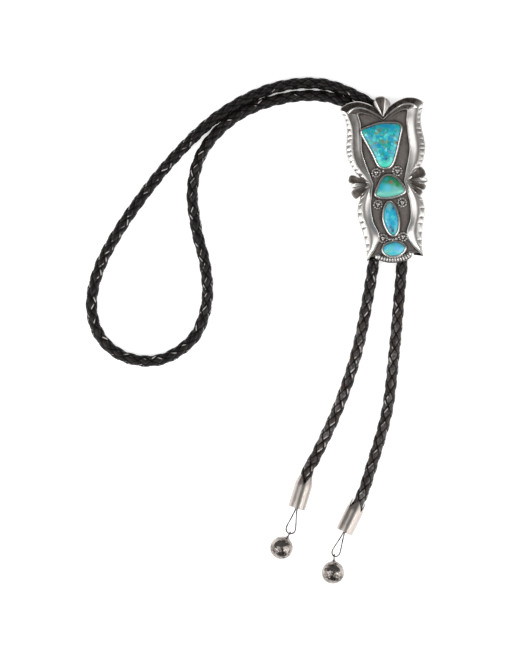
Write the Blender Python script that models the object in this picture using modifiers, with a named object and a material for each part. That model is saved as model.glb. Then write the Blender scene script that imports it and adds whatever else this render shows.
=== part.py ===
"""Bolo tie: a tall silver slide with four stones on a round braided cord.

The tie lies on its back. X runs across the slide, Y up along it and Z towards the
viewer. The origin lies under the middle of the slide, on the surface it rests on.
"""

import math

import bmesh
import bpy
from mathutils import Matrix, Vector

MM = 0.001

# Slide
SLIDE_LENGTH = 90 * MM
SLIDE_WIDTH = 46 * MM
PLATE_THICKNESS = 1.5 * MM
BAND_WIDTH = 4.2 * MM
BAND_RISE = 2.2 * MM
ARCH_RIDGE_WIDTH = 2.0 * MM
ARCH_RIDGE_RISE = 1.9 * MM
LOBE_WIDTH = 4.6 * MM
LOBE_RISE = 2.4 * MM
ROSETTE_DIAMETER = 5.8 * MM
ROSETTE_RISE = 2.4 * MM
CRESCENT_WIDTH = 2.9 * MM
CRESCENT_BEAD_DIAMETER = 3.3 * MM
CRESCENT_DROP_DIAMETER = 2.3 * MM
SCALLOP_PITCH = 2.9 * MM
SCALLOP_DEPTH = 0.5 * MM
ARCH_BAND_WIDTH = 3.8 * MM
ARCH_BAND_RISE = 1.6 * MM

# Settings and stones
BEZEL_WALL = 0.8 * MM
BEZEL_HEIGHT = 2.8 * MM
STONE_CLEARANCE = 0.3 * MM
STONE_SIDE = 2.5 * MM
STONE_CROWN = 2.2 * MM

# Back clip
CLIP_LENGTH = 36 * MM
CLIP_WALL = 0.9 * MM
CHANNEL_SPACING = 15 * MM
CHANNEL_LEAD = 5 * MM
SEAT_GAP = 0.3 * MM

# Cord
CORD_DIAMETER = 6.3 * MM
CORD_CLEARANCE = 0.3 * MM
CORD_POINT_SPACING = 13.5 * MM

# Tips, wire loops and balls
TIP_LENGTH = 18.6 * MM
TIP_WALL = 0.6 * MM
TIP_BORE_CLEARANCE = 0.95 * MM
TIP_PETAL_LENGTH = 5.6 * MM
TIP_NOTCH_WIDTH = 3.0 * MM
TIP_CAP = 0.8 * MM
TIP_HOLE_DIAMETER = 2.5 * MM
TIP_LEAD = 4 * MM
WIRE_DIAMETER = 0.8 * MM
WIRE_GAP = 0.1 * MM
LOOP_LENGTH = 14.2 * MM
STOP_BEAD_DIAMETER = 3.4 * MM
BALL_DIAMETER = 12.2 * MM
BALL_NECK = 0.9 * MM
EYE_BORE = 2.2 * MM

PLATE_BASE = 2 * CLIP_WALL + 2 * CORD_CLEARANCE + CORD_DIAMETER + SEAT_GAP
PLATE_TOP = PLATE_BASE + PLATE_THICKNESS
CORD_REST_HEIGHT = CORD_DIAMETER / 2
CHANNEL_HEIGHT = CLIP_WALL + CORD_CLEARANCE + CORD_DIAMETER / 2
TIP_BORE_RADIUS = CORD_DIAMETER / 2 + TIP_BORE_CLEARANCE
TIP_RADIUS = TIP_BORE_RADIUS + TIP_WALL
# How deep soldered pieces and mouldings are rooted in the plate, and the least half width
# of a moulding that runs out to a point
ROOT_DEPTH = 0.5 * PLATE_THICKNESS
MOULDING_DEPTH = 0.7 * PLATE_THICKNESS
MOULDING_POINT = 0.1 * MM

# Right half of the slide's outline, from the top of the bud to the foot, in smooth
# stretches that meet at corners. Columns: share of half the width, share of half the length.
OUTLINE = {
    "bud_top": ((0.000, 0.995), (0.110, 0.985), (0.195, 0.955)),
    "bud_side": ((0.195, 0.955), (0.190, 0.910), (0.152, 0.868)),
    "arch": ((0.152, 0.868), (0.240, 0.898), (0.430, 0.944), (0.650, 0.964), (0.850, 0.940),
             (1.000, 0.875)),
    "upper_side": ((1.000, 0.875), (0.905, 0.790), (0.860, 0.680), (0.865, 0.590),
                   (0.905, 0.440), (0.910, 0.350), (0.860, 0.240), (0.790, 0.140)),
    "fan": ((0.790, 0.140), (0.890, 0.035), (0.935, -0.050), (0.870, -0.125),
            (0.750, -0.215)),
    "lower_side": ((0.750, -0.215), (0.765, -0.320), (0.775, -0.415), (0.730, -0.530),
                   (0.675, -0.660), (0.650, -0.800), (0.665, -0.944)),
    "corner": ((0.665, -0.944), (0.600, -0.905), (0.500, -0.915)),
    "foot": ((0.500, -0.915), (0.360, -0.965), (0.180, -0.992), (0.000, -1.000)),
}
SCALLOPED = ("upper_side", "lower_side")

# Raised mouldings of the right half. Columns: share of half the width, share of half the
# length, share of the moulding's full width.
SIDE_BAND = (
    (0.790, 0.840, 0.45), (0.690, 0.780, 0.95), (0.642, 0.667, 1.00), (0.642, 0.527, 0.92),
    (0.665, 0.378, 0.98), (0.640, 0.290, 1.00), (0.590, 0.193, 0.98), (0.485, 0.070, 0.62),
    (0.395, -0.025, 0.25),
)
LOWER_BAND = (
    (0.400, -0.040, 0.25), (0.452, -0.110, 0.45), (0.515, -0.200, 0.68), (0.550, -0.330, 0.82),
    (0.540, -0.455, 0.82), (0.462, -0.580, 0.88), (0.430, -0.667, 0.95), (0.452, -0.740, 0.80),
    (0.520, -0.815, 0.55), (0.600, -0.885, 0.35), (0.650, -0.930, 0.16),
)
ARCH_BAND = (
    (0.140, 0.820, 0.70), (0.290, 0.872, 0.85), (0.440, 0.908, 0.95), (0.620, 0.924, 1.00),
    (0.790, 0.906, 0.90), (0.930, 0.876, 0.50),
)
OUTER_ARCH_RIDGE = (
    (0.013, 0.735, 0.60), (0.175, 0.795, 0.90), (0.350, 0.856, 1.00), (0.560, 0.886, 1.00),
    (0.720, 0.872, 0.90), (0.850, 0.845, 0.60),
)
INNER_ARCH_RIDGE = (
    (0.050, 0.705, 0.50), (0.180, 0.750, 0.70), (0.350, 0.800, 0.75), (0.500, 0.822, 0.75),
    (0.620, 0.815, 0.70),
)

# A fluted lobe from its root to its tip. Columns: share of its length, share of its full width.
LOBE_SHAPE = ((0.0, 0.16), (0.25, 0.42), (0.5, 0.74), (0.72, 0.96), (0.88, 0.86), (1.0, 0.40))
# Lobes of the bud. Columns: bearing from straight up in degrees, share of the bud's reach.
BUD_LOBES = ((-24, 0.94), (0, 1.0), (24, 0.94))
BUD_ROOT = (0.0, 0.775)
BUD_REACH = 9.6 * MM
BUD_WIDTH_SHARE = 0.86
# Lobes of the right side fan. Columns: bearing from straight right in degrees, share of reach.
FAN_LOBES = ((24, 0.92), (-5, 1.0), (-31, 0.92), (-52, 0.80))
FAN_ROOT = (0.390, -0.032)
FAN_REACH = 12.4 * MM
FAN_WIDTH_SHARE = 0.92

# Girdle outlines of the stones, clockwise from the top left.
# Columns: share of half the slide's width, share of half its length.
SHIELD_GIRDLE = (
    (-0.500, 0.612), (-0.350, 0.640), (-0.130, 0.666), (0.110, 0.667), (0.310, 0.652),
    (0.383, 0.607), (0.335, 0.511), (0.217, 0.318), (0.110, 0.190), (-0.013, 0.149),
    (-0.185, 0.180), (-0.300, 0.330), (-0.430, 0.480), (-0.505, 0.570),
)
DOME_GIRDLE = (
    (-0.030, 0.056), (0.070, 0.053), (0.150, 0.030), (0.248, -0.029), (0.361, -0.140),
    (0.290, -0.175), (0.143, -0.193), (-0.030, -0.200), (-0.187, -0.193), (-0.310, -0.172),
    (-0.370, -0.145), (-0.261, -0.073), (-0.130, 0.022),
)
TALL_OVAL_GIRDLE = (
    (0.000, -0.273), (0.110, -0.330), (0.185, -0.440), (0.204, -0.520), (0.150, -0.620),
    (0.030, -0.671), (-0.095, -0.630), (-0.170, -0.530), (-0.187, -0.440), (-0.120, -0.320),
)
WIDE_OVAL_GIRDLE = (
    (0.000, -0.749), (0.150, -0.768), (0.274, -0.830), (0.160, -0.895), (0.000, -0.918),
    (-0.150, -0.905), (-0.261, -0.845), (-0.190, -0.775),
)

# A rosette button from its middle to its edge. Columns: share of its radius, share of its rise.
ROSETTE_SHAPE = ((0.0, 1.0), (0.25, 0.93), (0.42, 0.62), (0.60, 0.58), (0.78, 0.72), (1.0, 0.42))
# Rosette buttons of the right half. Columns: shares of half the width and length, size share.
ROSETTES = ((0.250, 0.089, 1.06), (0.298, -0.284, 0.94), (0.246, -0.696, 0.94))

# Crescent at the foot, right half, from the middle out. Columns as for the outline.
CRESCENT = ((0.000, -0.952), (0.120, -0.947), (0.260, -0.932), (0.390, -0.905))
CRESCENT_DROPS = 7
# Height of a bead's middle over the plate as a share of its diameter
BEAD_LIFT = 0.25

# Ends of the cord. Columns: mouth of the tip in mm, headings in degrees from straight down
# towards the left of the tip, the wire loop and the ball, full width of the loop in mm.
CORD_ENDS = {
    "left": {"mouth": (-57.5, -155.0), "tip": 21.7, "loop": 20.5, "ball": 34.4, "width": 5.0},
    "right": {"mouth": (-30.4, -171.2), "tip": 30.5, "loop": 27.3, "ball": 9.5, "width": 4.2},
}

# Half the wire loop from the tip's end to its far bend.
# Columns: share of the loop's length, share of half its width.
LOOP_SHAPE = ((0.10, 0.20), (0.38, 0.52), (0.68, 0.90), (0.84, 1.0), (0.95, 0.68), (1.0, 0.0))

# Route of the cord over the surface, in mm, chosen by eye along the cord.
LEFT_TAIL_ROUTE = (
    (-51.5, -145.0), (-37.3, -120.0), (-25.5, -93.0), (-17.0, -65.0), (-9.8, -36.0),
)
NECK_LOOP_ROUTE = (
    (-10.5, 33.0), (-19.0, 42.2), (-33.0, 48.1), (-51.0, 48.6), (-70.5, 44.0), (-87.0, 34.8),
    (-99.8, 21.5), (-105.8, 3.0), (-105.3, -18.0), (-102.3, -38.0), (-103.3, -58.0),
    (-112.0, -76.0), (-130.0, -86.0), (-149.0, -83.4), (-162.0, -71.0), (-165.2, -53.0),
    (-158.8, -33.0), (-145.5, -12.8), (-129.0, 6.7), (-112.0, 23.8), (-93.0, 39.8),
    (-72.5, 51.0), (-51.0, 55.7), (-30.0, 54.4), (-11.5, 46.9), (1.5, 34.8),
)
RIGHT_TAIL_ROUTE = (
    (5.4, -35.0), (0.6, -63.0), (-4.9, -94.0), (-11.5, -125.0), (-23.3, -156.0),
)

OUTLINE_STEPS = 3
GIRDLE_STEPS = 3
ROUTE_STEPS = 40
ROUND_STEPS = 16
BUTTON_STEPS = 12
WELD = 0.01 * MM


def collection(name):
    """A collection of that name under the scene."""
    made = bpy.data.collections.new(name)
    bpy.context.scene.collection.children.link(made)
    return made


for old in list(bpy.data.objects):
    bpy.data.objects.remove(old)
PARTS = collection("bolo_tie")
CUTTERS = collection("bolo_tie_cutters")


def finish(name, colour, metallic, roughness):
    """A Principled material."""
    made = bpy.data.materials.new(name)
    made.use_nodes = True
    shader = made.node_tree.nodes["Principled BSDF"]
    shader.inputs["Base Color"].default_value = (*colour, 1.0)
    shader.inputs["Metallic"].default_value = metallic
    shader.inputs["Roughness"].default_value = roughness
    made.diffuse_color = (*colour, 1.0)
    return made


def on_slide(share_x, share_y):
    """A point of the slide from its shares of the half width and half length."""
    return (share_x * SLIDE_WIDTH / 2, share_y * SLIDE_LENGTH / 2)


def smooth_path(points, steps, closed=False):
    """A Catmull-Rom curve through the points, with that many steps to each span."""
    points = [Vector(point) for point in points]
    count = len(points)
    spans = count if closed else count - 1
    path = []
    for span in range(spans):
        if closed:
            before, start, end, after = (points[(span + k - 1) % count] for k in range(4))
        else:
            before = points[max(span - 1, 0)]
            start, end = points[span], points[span + 1]
            after = points[min(span + 2, count - 1)]
        for step in range(steps):
            t = step / steps
            path.append(0.5 * (2 * start + (end - before) * t
                               + (2 * before - 5 * start + 4 * end - after) * t * t
                               + (3 * start - before - 3 * end + after) * t ** 3))
    if not closed:
        path.append(points[-1])
    return path


def even_path(points, spacing):
    """The same path with its points at even distances close to the spacing."""
    lengths = [0.0]
    for start, end in zip(points, points[1:]):
        lengths.append(lengths[-1] + (end - start).length)
    count = round(lengths[-1] / spacing)
    even, span = [], 0
    for index in range(count + 1):
        target = lengths[-1] * index / count
        while span < len(lengths) - 2 and lengths[span + 1] < target:
            span += 1
        share = (target - lengths[span]) / (lengths[span + 1] - lengths[span])
        even.append(points[span].lerp(points[span + 1], share))
    return even


def grown_outline(points, distance):
    """A closed clockwise outline moved outwards by a distance along its normals."""
    count = len(points)
    grown = []
    for index in range(count):
        along = points[(index + 1) % count] - points[index - 1]
        normal = Vector((-along.y, along.x)).normalized()
        grown.append(points[index] + normal * distance)
    return grown


def new_object(name, data, group=PARTS):
    """An object in a collection."""
    made = bpy.data.objects.new(name, data)
    group.objects.link(made)
    return made


def as_mesh(source, group=PARTS):
    """A welded mesh object in place of a curve or of an object with modifiers."""
    name = source.name
    evaluated = source.evaluated_get(bpy.context.evaluated_depsgraph_get())
    mesh = bpy.data.meshes.new_from_object(evaluated)
    mesh.transform(source.matrix_world)
    work = bmesh.new()
    work.from_mesh(mesh)
    bmesh.ops.remove_doubles(work, verts=work.verts, dist=WELD)
    work.to_mesh(mesh)
    work.free()
    bpy.data.objects.remove(source)
    return new_object(name, mesh, group)


def flat_solid(name, outlines, bottom, top, group=PARTS):
    """A solid with upright walls from closed 2D outlines; inner outlines are holes."""
    curve = bpy.data.curves.new(name, "CURVE")
    curve.dimensions = "2D"
    curve.fill_mode = "BOTH"
    curve.extrude = (top - bottom) / 2
    for outline in outlines:
        spline = curve.splines.new("POLY")
        spline.points.add(len(outline) - 1)
        for point, place in zip(spline.points, outline):
            point.co = (place[0], place[1], 0, 1)
        spline.use_cyclic_u = True
    made = new_object(name, curve, group)
    made.location.z = (top + bottom) / 2
    bpy.context.view_layer.update()
    return as_mesh(made, group)


def tube(name, points, radii, resolution=2, group=PARTS):
    """A curve with a round bevel and filled caps, thick as its radii say."""
    curve = bpy.data.curves.new(name, "CURVE")
    curve.dimensions = "3D"
    curve.bevel_depth = 1.0
    curve.bevel_resolution = resolution
    curve.use_fill_caps = True
    spline = curve.splines.new("POLY")
    spline.points.add(len(points) - 1)
    for point, place, radius in zip(spline.points, points, radii):
        point.co = (*place, 1)
        point.radius = radius
    return new_object(name, curve, group)


def moulding(name, rows, width, rise, steps, group):
    """A rounded ridge on the plate, from rows of x, y and width; its foot is inside the plate."""
    path = smooth_path([(x, y, share * width / 2) for x, y, share in rows], steps)
    centres = [(point.x, point.y, 0) for point in path]
    ridge = as_mesh(tube(name, centres, [max(point.z, MOULDING_POINT) for point in path],
                         group=group), group)
    for vertex in ridge.data.vertices:
        vertex.co.z = max(vertex.co.z * rise / (width / 2), -MOULDING_DEPTH) + PLATE_TOP
    return ridge


def turned(name, profile, steps=ROUND_STEPS, closed=False, group=PARTS):
    """A profile of radius and height turned about Z with a Screw modifier."""
    mesh = bpy.data.meshes.new(name)
    edges = [(k, k + 1) for k in range(len(profile) - 1)]
    if closed:
        edges.append((len(profile) - 1, 0))
    mesh.from_pydata([(radius, 0, height) for radius, height in profile], edges, [])
    made = new_object(name, mesh, group)
    screw = made.modifiers.new("turn", "SCREW")
    screw.steps = steps
    screw.render_steps = steps
    screw.use_merge_vertices = True
    screw.merge_threshold = WELD
    return as_mesh(made, group)


def boolean(target, operation, others):
    """Joins the others to the target, or cuts them from it, and applies the result."""
    tools = bpy.data.collections.new(target.name + "_tools")
    for other in others:
        tools.objects.link(other)
    step = target.modifiers.new(operation.lower(), "BOOLEAN")
    step.operation = operation
    step.operand_type = "COLLECTION"
    step.collection = tools
    step.solver = "EXACT"
    bpy.context.view_layer.update()
    made = as_mesh(target)
    bpy.data.collections.remove(tools)
    return made


def as_cutter(made):
    """Marks an object as a cutter."""
    made.hide_render = True
    made.display_type = "WIRE"
    return made


def shade(made, material, angle=35):
    """Gives an object its material and smooth shading with sharp edges kept."""
    made.data.materials.clear()
    made.data.materials.append(material)
    made.data.shade_smooth()
    made.data.set_sharp_from_angle(angle=math.radians(angle))
    return made


def mirrored(rows, side):
    """Rows whose first column changes sign on the left side."""
    return [(row[0] * side, *row[1:]) for row in rows]


def scalloped(path):
    """The path with round scallops that stand out of it at an even pitch."""
    length = sum((end - start).length for start, end in zip(path, path[1:]))
    count = round(length / SCALLOP_PITCH)
    fine = even_path(path, length / (4 * count))
    made = [fine[0]]
    for index in range(1, len(fine) - 1):
        along = fine[index + 1] - fine[index - 1]
        normal = Vector((-along.y, along.x)).normalized()
        made.append(fine[index] + normal * SCALLOP_DEPTH * math.sin(math.pi * index / 4) ** 2)
    return made + [fine[-1]]


def slide_outline():
    """The whole outline of the plate, clockwise from the top of the bud."""
    right = []
    for name, stretch in OUTLINE.items():
        path = smooth_path([on_slide(*row) for row in stretch], OUTLINE_STEPS)
        right += (scalloped(path) if name in SCALLOPED else path)[:-1]
    foot = Vector(on_slide(*OUTLINE["foot"][-1]))
    left = [Vector((-point.x, point.y)) for point in reversed(right[1:])]
    return right + [foot] + left


def lobe(name, root, bearing, reach, width):
    """A fluted lobe that spreads from its root; the bearing is from +X, in radians."""
    along = Vector((math.cos(bearing), math.sin(bearing)))
    rows = []
    for share, width_share in LOBE_SHAPE:
        place = Vector(root) + along * reach * share
        rows.append((place.x, place.y, width_share))
    return moulding(name, rows, width, LOBE_RISE, 1, CUTTERS)


def girdle(rows, grow=0.0):
    """A stone's outline, grown by a distance."""
    path = smooth_path([on_slide(*row) for row in rows], GIRDLE_STEPS, closed=True)
    return grown_outline(path, grow)


def bezel(name, rows):
    """The wall of a setting round its stone."""
    inner = girdle(rows, STONE_CLEARANCE)
    outer = girdle(rows, STONE_CLEARANCE + BEZEL_WALL)
    return flat_solid(name, (outer, inner), PLATE_TOP - ROOT_DEPTH, PLATE_TOP + BEZEL_HEIGHT,
                      CUTTERS)


def rosette(name, share_x, share_y, size):
    """A round button with a raised rim and a boss."""
    radius = size * ROSETTE_DIAMETER / 2
    foot = -ROOT_DEPTH
    profile = [(out * radius, up * ROSETTE_RISE) for out, up in ROSETTE_SHAPE]
    profile += [(radius, foot), (0, foot)]
    button = turned(name, profile, BUTTON_STEPS, group=CUTTERS)
    x, y = on_slide(share_x, share_y)
    button.data.transform(Matrix.Translation((x, y, PLATE_TOP)))
    return button


def bead(name, x, y, diameter):
    """A round bead on the plate."""
    mesh = bpy.data.meshes.new(name)
    work = bmesh.new()
    bmesh.ops.create_uvsphere(work, u_segments=10, v_segments=6, radius=diameter / 2)
    work.to_mesh(mesh)
    work.free()
    mesh.transform(Matrix.Translation((x, y, PLATE_TOP + BEAD_LIFT * diameter)))
    return new_object(name, mesh, CUTTERS)


def make_slide(material):
    """The soldered silver slide: plate, mouldings, bud, fans, settings and buttons."""
    plate = flat_solid("slide_plate", (slide_outline(),), PLATE_BASE, PLATE_TOP)
    added = []
    for side, label in ((1, "right"), (-1, "left")):
        for name, rows, width, rise in (
                ("side_band", SIDE_BAND, BAND_WIDTH, BAND_RISE),
                ("lower_band", LOWER_BAND, BAND_WIDTH, BAND_RISE),
                ("arch_band", ARCH_BAND, ARCH_BAND_WIDTH, ARCH_BAND_RISE),
                ("outer_ridge", OUTER_ARCH_RIDGE, ARCH_RIDGE_WIDTH, ARCH_RIDGE_RISE),
                ("inner_ridge", INNER_ARCH_RIDGE, ARCH_RIDGE_WIDTH, ARCH_RIDGE_RISE)):
            placed = [(*on_slide(row[0] * side, row[1]), row[2]) for row in rows]
            added.append(moulding(name + "_" + label, placed, width, rise, 2, CUTTERS))
        root = on_slide(FAN_ROOT[0] * side, FAN_ROOT[1])
        for index, (degrees, share) in enumerate(FAN_LOBES):
            bearing = math.radians(degrees if side > 0 else 180 - degrees)
            added.append(lobe("fan_%s_%d" % (label, index), root, bearing,
                              share * FAN_REACH, FAN_WIDTH_SHARE * LOBE_WIDTH))
        for index, (share_x, share_y, size) in enumerate(ROSETTES):
            added.append(rosette("rosette_%s_%d" % (label, index), side * share_x, share_y, size))
        end_x, end_y = on_slide(CRESCENT[-1][0] * side, CRESCENT[-1][1])
        added.append(bead("crescent_end_" + label, end_x, end_y, CRESCENT_BEAD_DIAMETER))
    for index, (degrees, share) in enumerate(BUD_LOBES):
        added.append(lobe("bud_%d" % index, on_slide(*BUD_ROOT), math.radians(90 - degrees),
                          share * BUD_REACH, BUD_WIDTH_SHARE * LOBE_WIDTH))
    arc = mirrored(reversed(CRESCENT[1:]), -1) + list(CRESCENT)
    placed = [(*on_slide(*row), 1.0) for row in arc]
    added.append(moulding("crescent", placed, CRESCENT_WIDTH, BAND_RISE, 2, CUTTERS))
    lower_edge = [Vector((x, y - 0.35 * CRESCENT_WIDTH)) for x, y, _ in placed[1:-1]]
    spacing = sum((b - a).length for a, b in zip(lower_edge, lower_edge[1:]))
    for index, place in enumerate(even_path(lower_edge, spacing / (CRESCENT_DROPS - 1))):
        added.append(bead("crescent_drop_%d" % index, *place, CRESCENT_DROP_DIAMETER))
    for name, rows in (("shield", SHIELD_GIRDLE), ("dome", DOME_GIRDLE),
                       ("tall", TALL_OVAL_GIRDLE), ("wide", WIDE_OVAL_GIRDLE)):
        added.append(bezel("bezel_" + name, rows))
    slide = boolean(plate, "UNION", added)
    for piece in added:
        bpy.data.objects.remove(piece)
    shade(slide, material)


def make_stone(name, rows, material):
    """A cabochon: an upright side up to the bezel's edge and a low crown above it."""
    outline = girdle(rows)
    centre = sum(outline, Vector((0, 0))) / len(outline)
    base = PLATE_TOP + SEAT_GAP
    levels = [(1.0, base), (1.0, base + STONE_SIDE)]
    for degrees in (25, 48, 68):
        angle = math.radians(degrees)
        levels.append((math.cos(angle), base + STONE_SIDE + STONE_CROWN * math.sin(angle)))
    work = bmesh.new()
    rings = []
    for share, height in levels:
        rings.append([work.verts.new((*(centre + (point - centre) * share), height))
                      for point in outline])
    for lower, upper in zip(rings, rings[1:]):
        for k in range(len(outline)):
            following = (k + 1) % len(outline)
            work.faces.new((lower[k], upper[k], upper[following], lower[following]))
    top = work.verts.new((*centre, base + STONE_SIDE + STONE_CROWN))
    for k in range(len(outline)):
        work.faces.new((rings[-1][k], top, rings[-1][(k + 1) % len(outline)]))
    work.faces.new(rings[0])
    bmesh.ops.recalc_face_normals(work, faces=work.faces)
    mesh = bpy.data.meshes.new(name)
    work.to_mesh(mesh)
    work.free()
    shade(new_object(name, mesh), material, 50)


def arc_points(centre, radius, start, end, steps):
    """Points of a round arc, angles in degrees."""
    points = []
    for step in range(steps + 1):
        angle = math.radians(start + (end - start) * step / steps)
        points.append(Vector((centre[0] + radius * math.cos(angle),
                              centre[1] + radius * math.sin(angle))))
    return points


def make_clip(material):
    """The plain back clip: two round channels side by side in one flat-sided sleeve."""
    outer_radius = CHANNEL_HEIGHT
    bore = CORD_DIAMETER / 2 + CORD_CLEARANCE
    half = CHANNEL_SPACING / 2
    outline = (arc_points((half, 0), outer_radius, 90, -90, 10)
               + arc_points((-half, 0), outer_radius, 270, 90, 10))
    holes = [arc_points((x, 0), bore, 0, 345, 23) for x in (half, -half)]
    clip = flat_solid("back_clip", (outline, *holes), -CLIP_LENGTH / 2, CLIP_LENGTH / 2)
    clip.data.transform(Matrix.Translation((0, 0, CHANNEL_HEIGHT))
                        @ Matrix.Rotation(math.radians(90), 4, "X"))
    shade(clip, material)


def heading(degrees):
    """The direction on the surface that is turned from straight down towards the left."""
    angle = math.radians(degrees)
    return Vector((-math.sin(angle), -math.cos(angle), 0))


def tip_frame(end):
    """The centre of the tip's closed face and the direction from its mouth to that face."""
    along = heading(end["tip"])
    mouth = Vector((end["mouth"][0] * MM, end["mouth"][1] * MM, TIP_RADIUS))
    return mouth + along * TIP_LENGTH, along


def stop_bead_depth():
    """How far the stop bead's middle lies inside the cap, its surface a gap off the hole."""
    reach = STOP_BEAD_DIAMETER / 2 + SEAT_GAP
    return TIP_CAP + math.sqrt(reach ** 2 - (TIP_HOLE_DIAMETER / 2) ** 2)


def tip_route(end):
    """Route points of the cord on the tip's axis, from its end inside to past the mouth."""
    face, along = tip_frame(end)
    inner = stop_bead_depth() + STOP_BEAD_DIAMETER / 2 + CORD_CLEARANCE
    return [face - along * inner, face - along * TIP_LENGTH * 0.7,
            face - along * (TIP_LENGTH + TIP_LEAD)]


def channel_route(side):
    """Route points of the cord through one channel of the clip, from the foot up."""
    mouth = CLIP_LENGTH / 2
    reach = mouth + CHANNEL_LEAD
    x = side * CHANNEL_SPACING / 2
    return [Vector((x, y, CHANNEL_HEIGHT)) for y in (-reach, -mouth, mouth, reach)]


def on_surface(route):
    """Route points in metres at the height of the cord on the surface."""
    return [Vector((x * MM, y * MM, CORD_REST_HEIGHT)) for x, y in route]


def cord_path():
    """The cord's smooth centre line from the left tip round the neck to the right tip."""
    route = (tip_route(CORD_ENDS["left"]) + on_surface(LEFT_TAIL_ROUTE) + channel_route(-1)
             + on_surface(NECK_LOOP_ROUTE) + channel_route(1)[::-1]
             + on_surface(RIGHT_TAIL_ROUTE) + tip_route(CORD_ENDS["right"])[::-1])
    path = smooth_path(route, ROUTE_STEPS)
    for point in path:
        point.z = max(point.z, CORD_REST_HEIGHT)
    return even_path(path, CORD_POINT_SPACING)


def make_cord(material):
    """The braided cord as one plain tube."""
    path = cord_path()
    cord = tube("cord", path, [CORD_DIAMETER / 2] * len(path))
    cord.data.materials.append(material)


def facing(axis):
    """A turn that brings local Z to the axis and keeps local Y as upright as it can be."""
    axis = axis.normalized()
    across = Vector((0, 0, 1)).cross(axis).normalized()
    upright = axis.cross(across)
    return Matrix((across, upright, axis)).transposed().to_4x4()


def make_tip(name, end, material):
    """A tip: a cup with a hole in its closed end and four petals pinched round the cord."""
    shoulder = TIP_LENGTH - TIP_PETAL_LENGTH
    mouth = CORD_DIAMETER / 2 + CORD_CLEARANCE
    edge = 0.4 * TIP_WALL
    profile = (
        (mouth + TIP_WALL, TIP_LENGTH), (TIP_RADIUS, shoulder), (TIP_RADIUS, edge),
        (TIP_RADIUS - edge, 0), (TIP_HOLE_DIAMETER / 2, 0), (TIP_HOLE_DIAMETER / 2, TIP_CAP),
        (TIP_BORE_RADIUS, TIP_CAP), (TIP_BORE_RADIUS, shoulder), (mouth, TIP_LENGTH),
    )
    cup = turned(name, profile, closed=True)
    notches = []
    for index in range(4):
        notch = bpy.data.meshes.new("notch")
        work = bmesh.new()
        bmesh.ops.create_cube(work, size=1)
        work.to_mesh(notch)
        work.free()
        depth = TIP_PETAL_LENGTH * 0.85
        reach = 2 * TIP_RADIUS
        notch.transform(Matrix.Rotation(math.radians(45 + 90 * index), 4, "Z")
                        @ Matrix.Translation((TIP_RADIUS, 0, TIP_LENGTH))
                        @ Matrix.Diagonal((0.5 * reach, TIP_NOTCH_WIDTH / math.sqrt(2),
                                           depth * math.sqrt(2), 1))
                        @ Matrix.Rotation(math.radians(45), 4, "X"))
        notches.append(as_cutter(new_object("notch_%d" % index, notch, CUTTERS)))
    tip = boolean(cup, "DIFFERENCE", notches)
    for notch in notches:
        bpy.data.objects.remove(notch)
    face, along = tip_frame(end)
    tip.data.transform(Matrix.Translation(face) @ facing(-along))
    shade(tip, material)


def loop_frame(end):
    """The tip's closed face, the loop's direction and its far bend's wire centre."""
    face, _ = tip_frame(end)
    along = heading(end["loop"])
    return face, along, face + along * LOOP_LENGTH


def make_wire_loop(name, end, material):
    """A drop-shaped wire loop whose two legs pass the tip's hole to a bead inside."""
    face, along, _ = loop_frame(end)
    across = Vector((along.y, -along.x, 0))
    leg = (WIRE_DIAMETER + WIRE_GAP) / 2
    half = [(-stop_bead_depth(), leg), (0.0, leg)]
    for share, width_share in LOOP_SHAPE:
        half.append((share * LOOP_LENGTH, max(width_share * end["width"] / 2 * MM, leg)))
    half[-1] = (LOOP_LENGTH, 0.0)
    rows = half + [(reach, -offset) for reach, offset in reversed(half[:-1])]
    path = smooth_path([face + along * reach + across * offset for reach, offset in rows], 3)
    wire = as_mesh(tube(name, path, [WIRE_DIAMETER / 2] * len(path), 1))
    stop = bpy.data.meshes.new("stop_bead")
    work = bmesh.new()
    bmesh.ops.create_uvsphere(work, u_segments=10, v_segments=8, radius=STOP_BEAD_DIAMETER / 2)
    work.to_mesh(stop)
    work.free()
    stop.transform(Matrix.Translation(face - along * stop_bead_depth()))
    knob = new_object("stop_bead", stop, CUTTERS)
    loop = boolean(wire, "UNION", [knob])
    bpy.data.objects.remove(knob)
    shade(loop, material)


def make_ball(name, end, material):
    """A ball with a pointed neck and an eye that is hooked through the wire loop."""
    radius = BALL_DIAMETER / 2
    wire = WIRE_DIAMETER / 2
    eye_radius = EYE_BORE / 2 + wire
    eye_height = radius + BALL_NECK + eye_radius
    wire_height = eye_height + EYE_BORE / 2 - wire - SEAT_GAP
    top = eye_height - eye_radius
    profile = [(0, top), (1.2 * wire, top), (1.5 * wire, radius + 0.15 * BALL_NECK)]
    for degrees in range(70, -71, -20):
        angle = math.radians(degrees)
        profile.append((radius * math.cos(angle), radius * math.sin(angle)))
    profile.append((0, -radius))
    ball = turned(name, profile)
    bpy.ops.mesh.primitive_torus_add(major_radius=eye_radius, minor_radius=wire,
                                     major_segments=16, minor_segments=6)
    ring = bpy.context.object
    ring.data.transform(Matrix.Translation((0, 0, eye_height))
                        @ Matrix.Rotation(math.radians(90), 4, "Y"))
    ball = boolean(ball, "UNION", [ring])
    bpy.data.objects.remove(ring)
    _, _, bend = loop_frame(end)
    drop = radius - TIP_RADIUS
    level = math.sqrt(wire_height ** 2 - drop ** 2)
    towards_ball = heading(end["ball"]) * level + Vector((0, 0, drop))
    centre = bend + towards_ball
    ball.data.transform(Matrix.Translation(centre) @ facing(-towards_ball))
    shade(ball, material)


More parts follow.
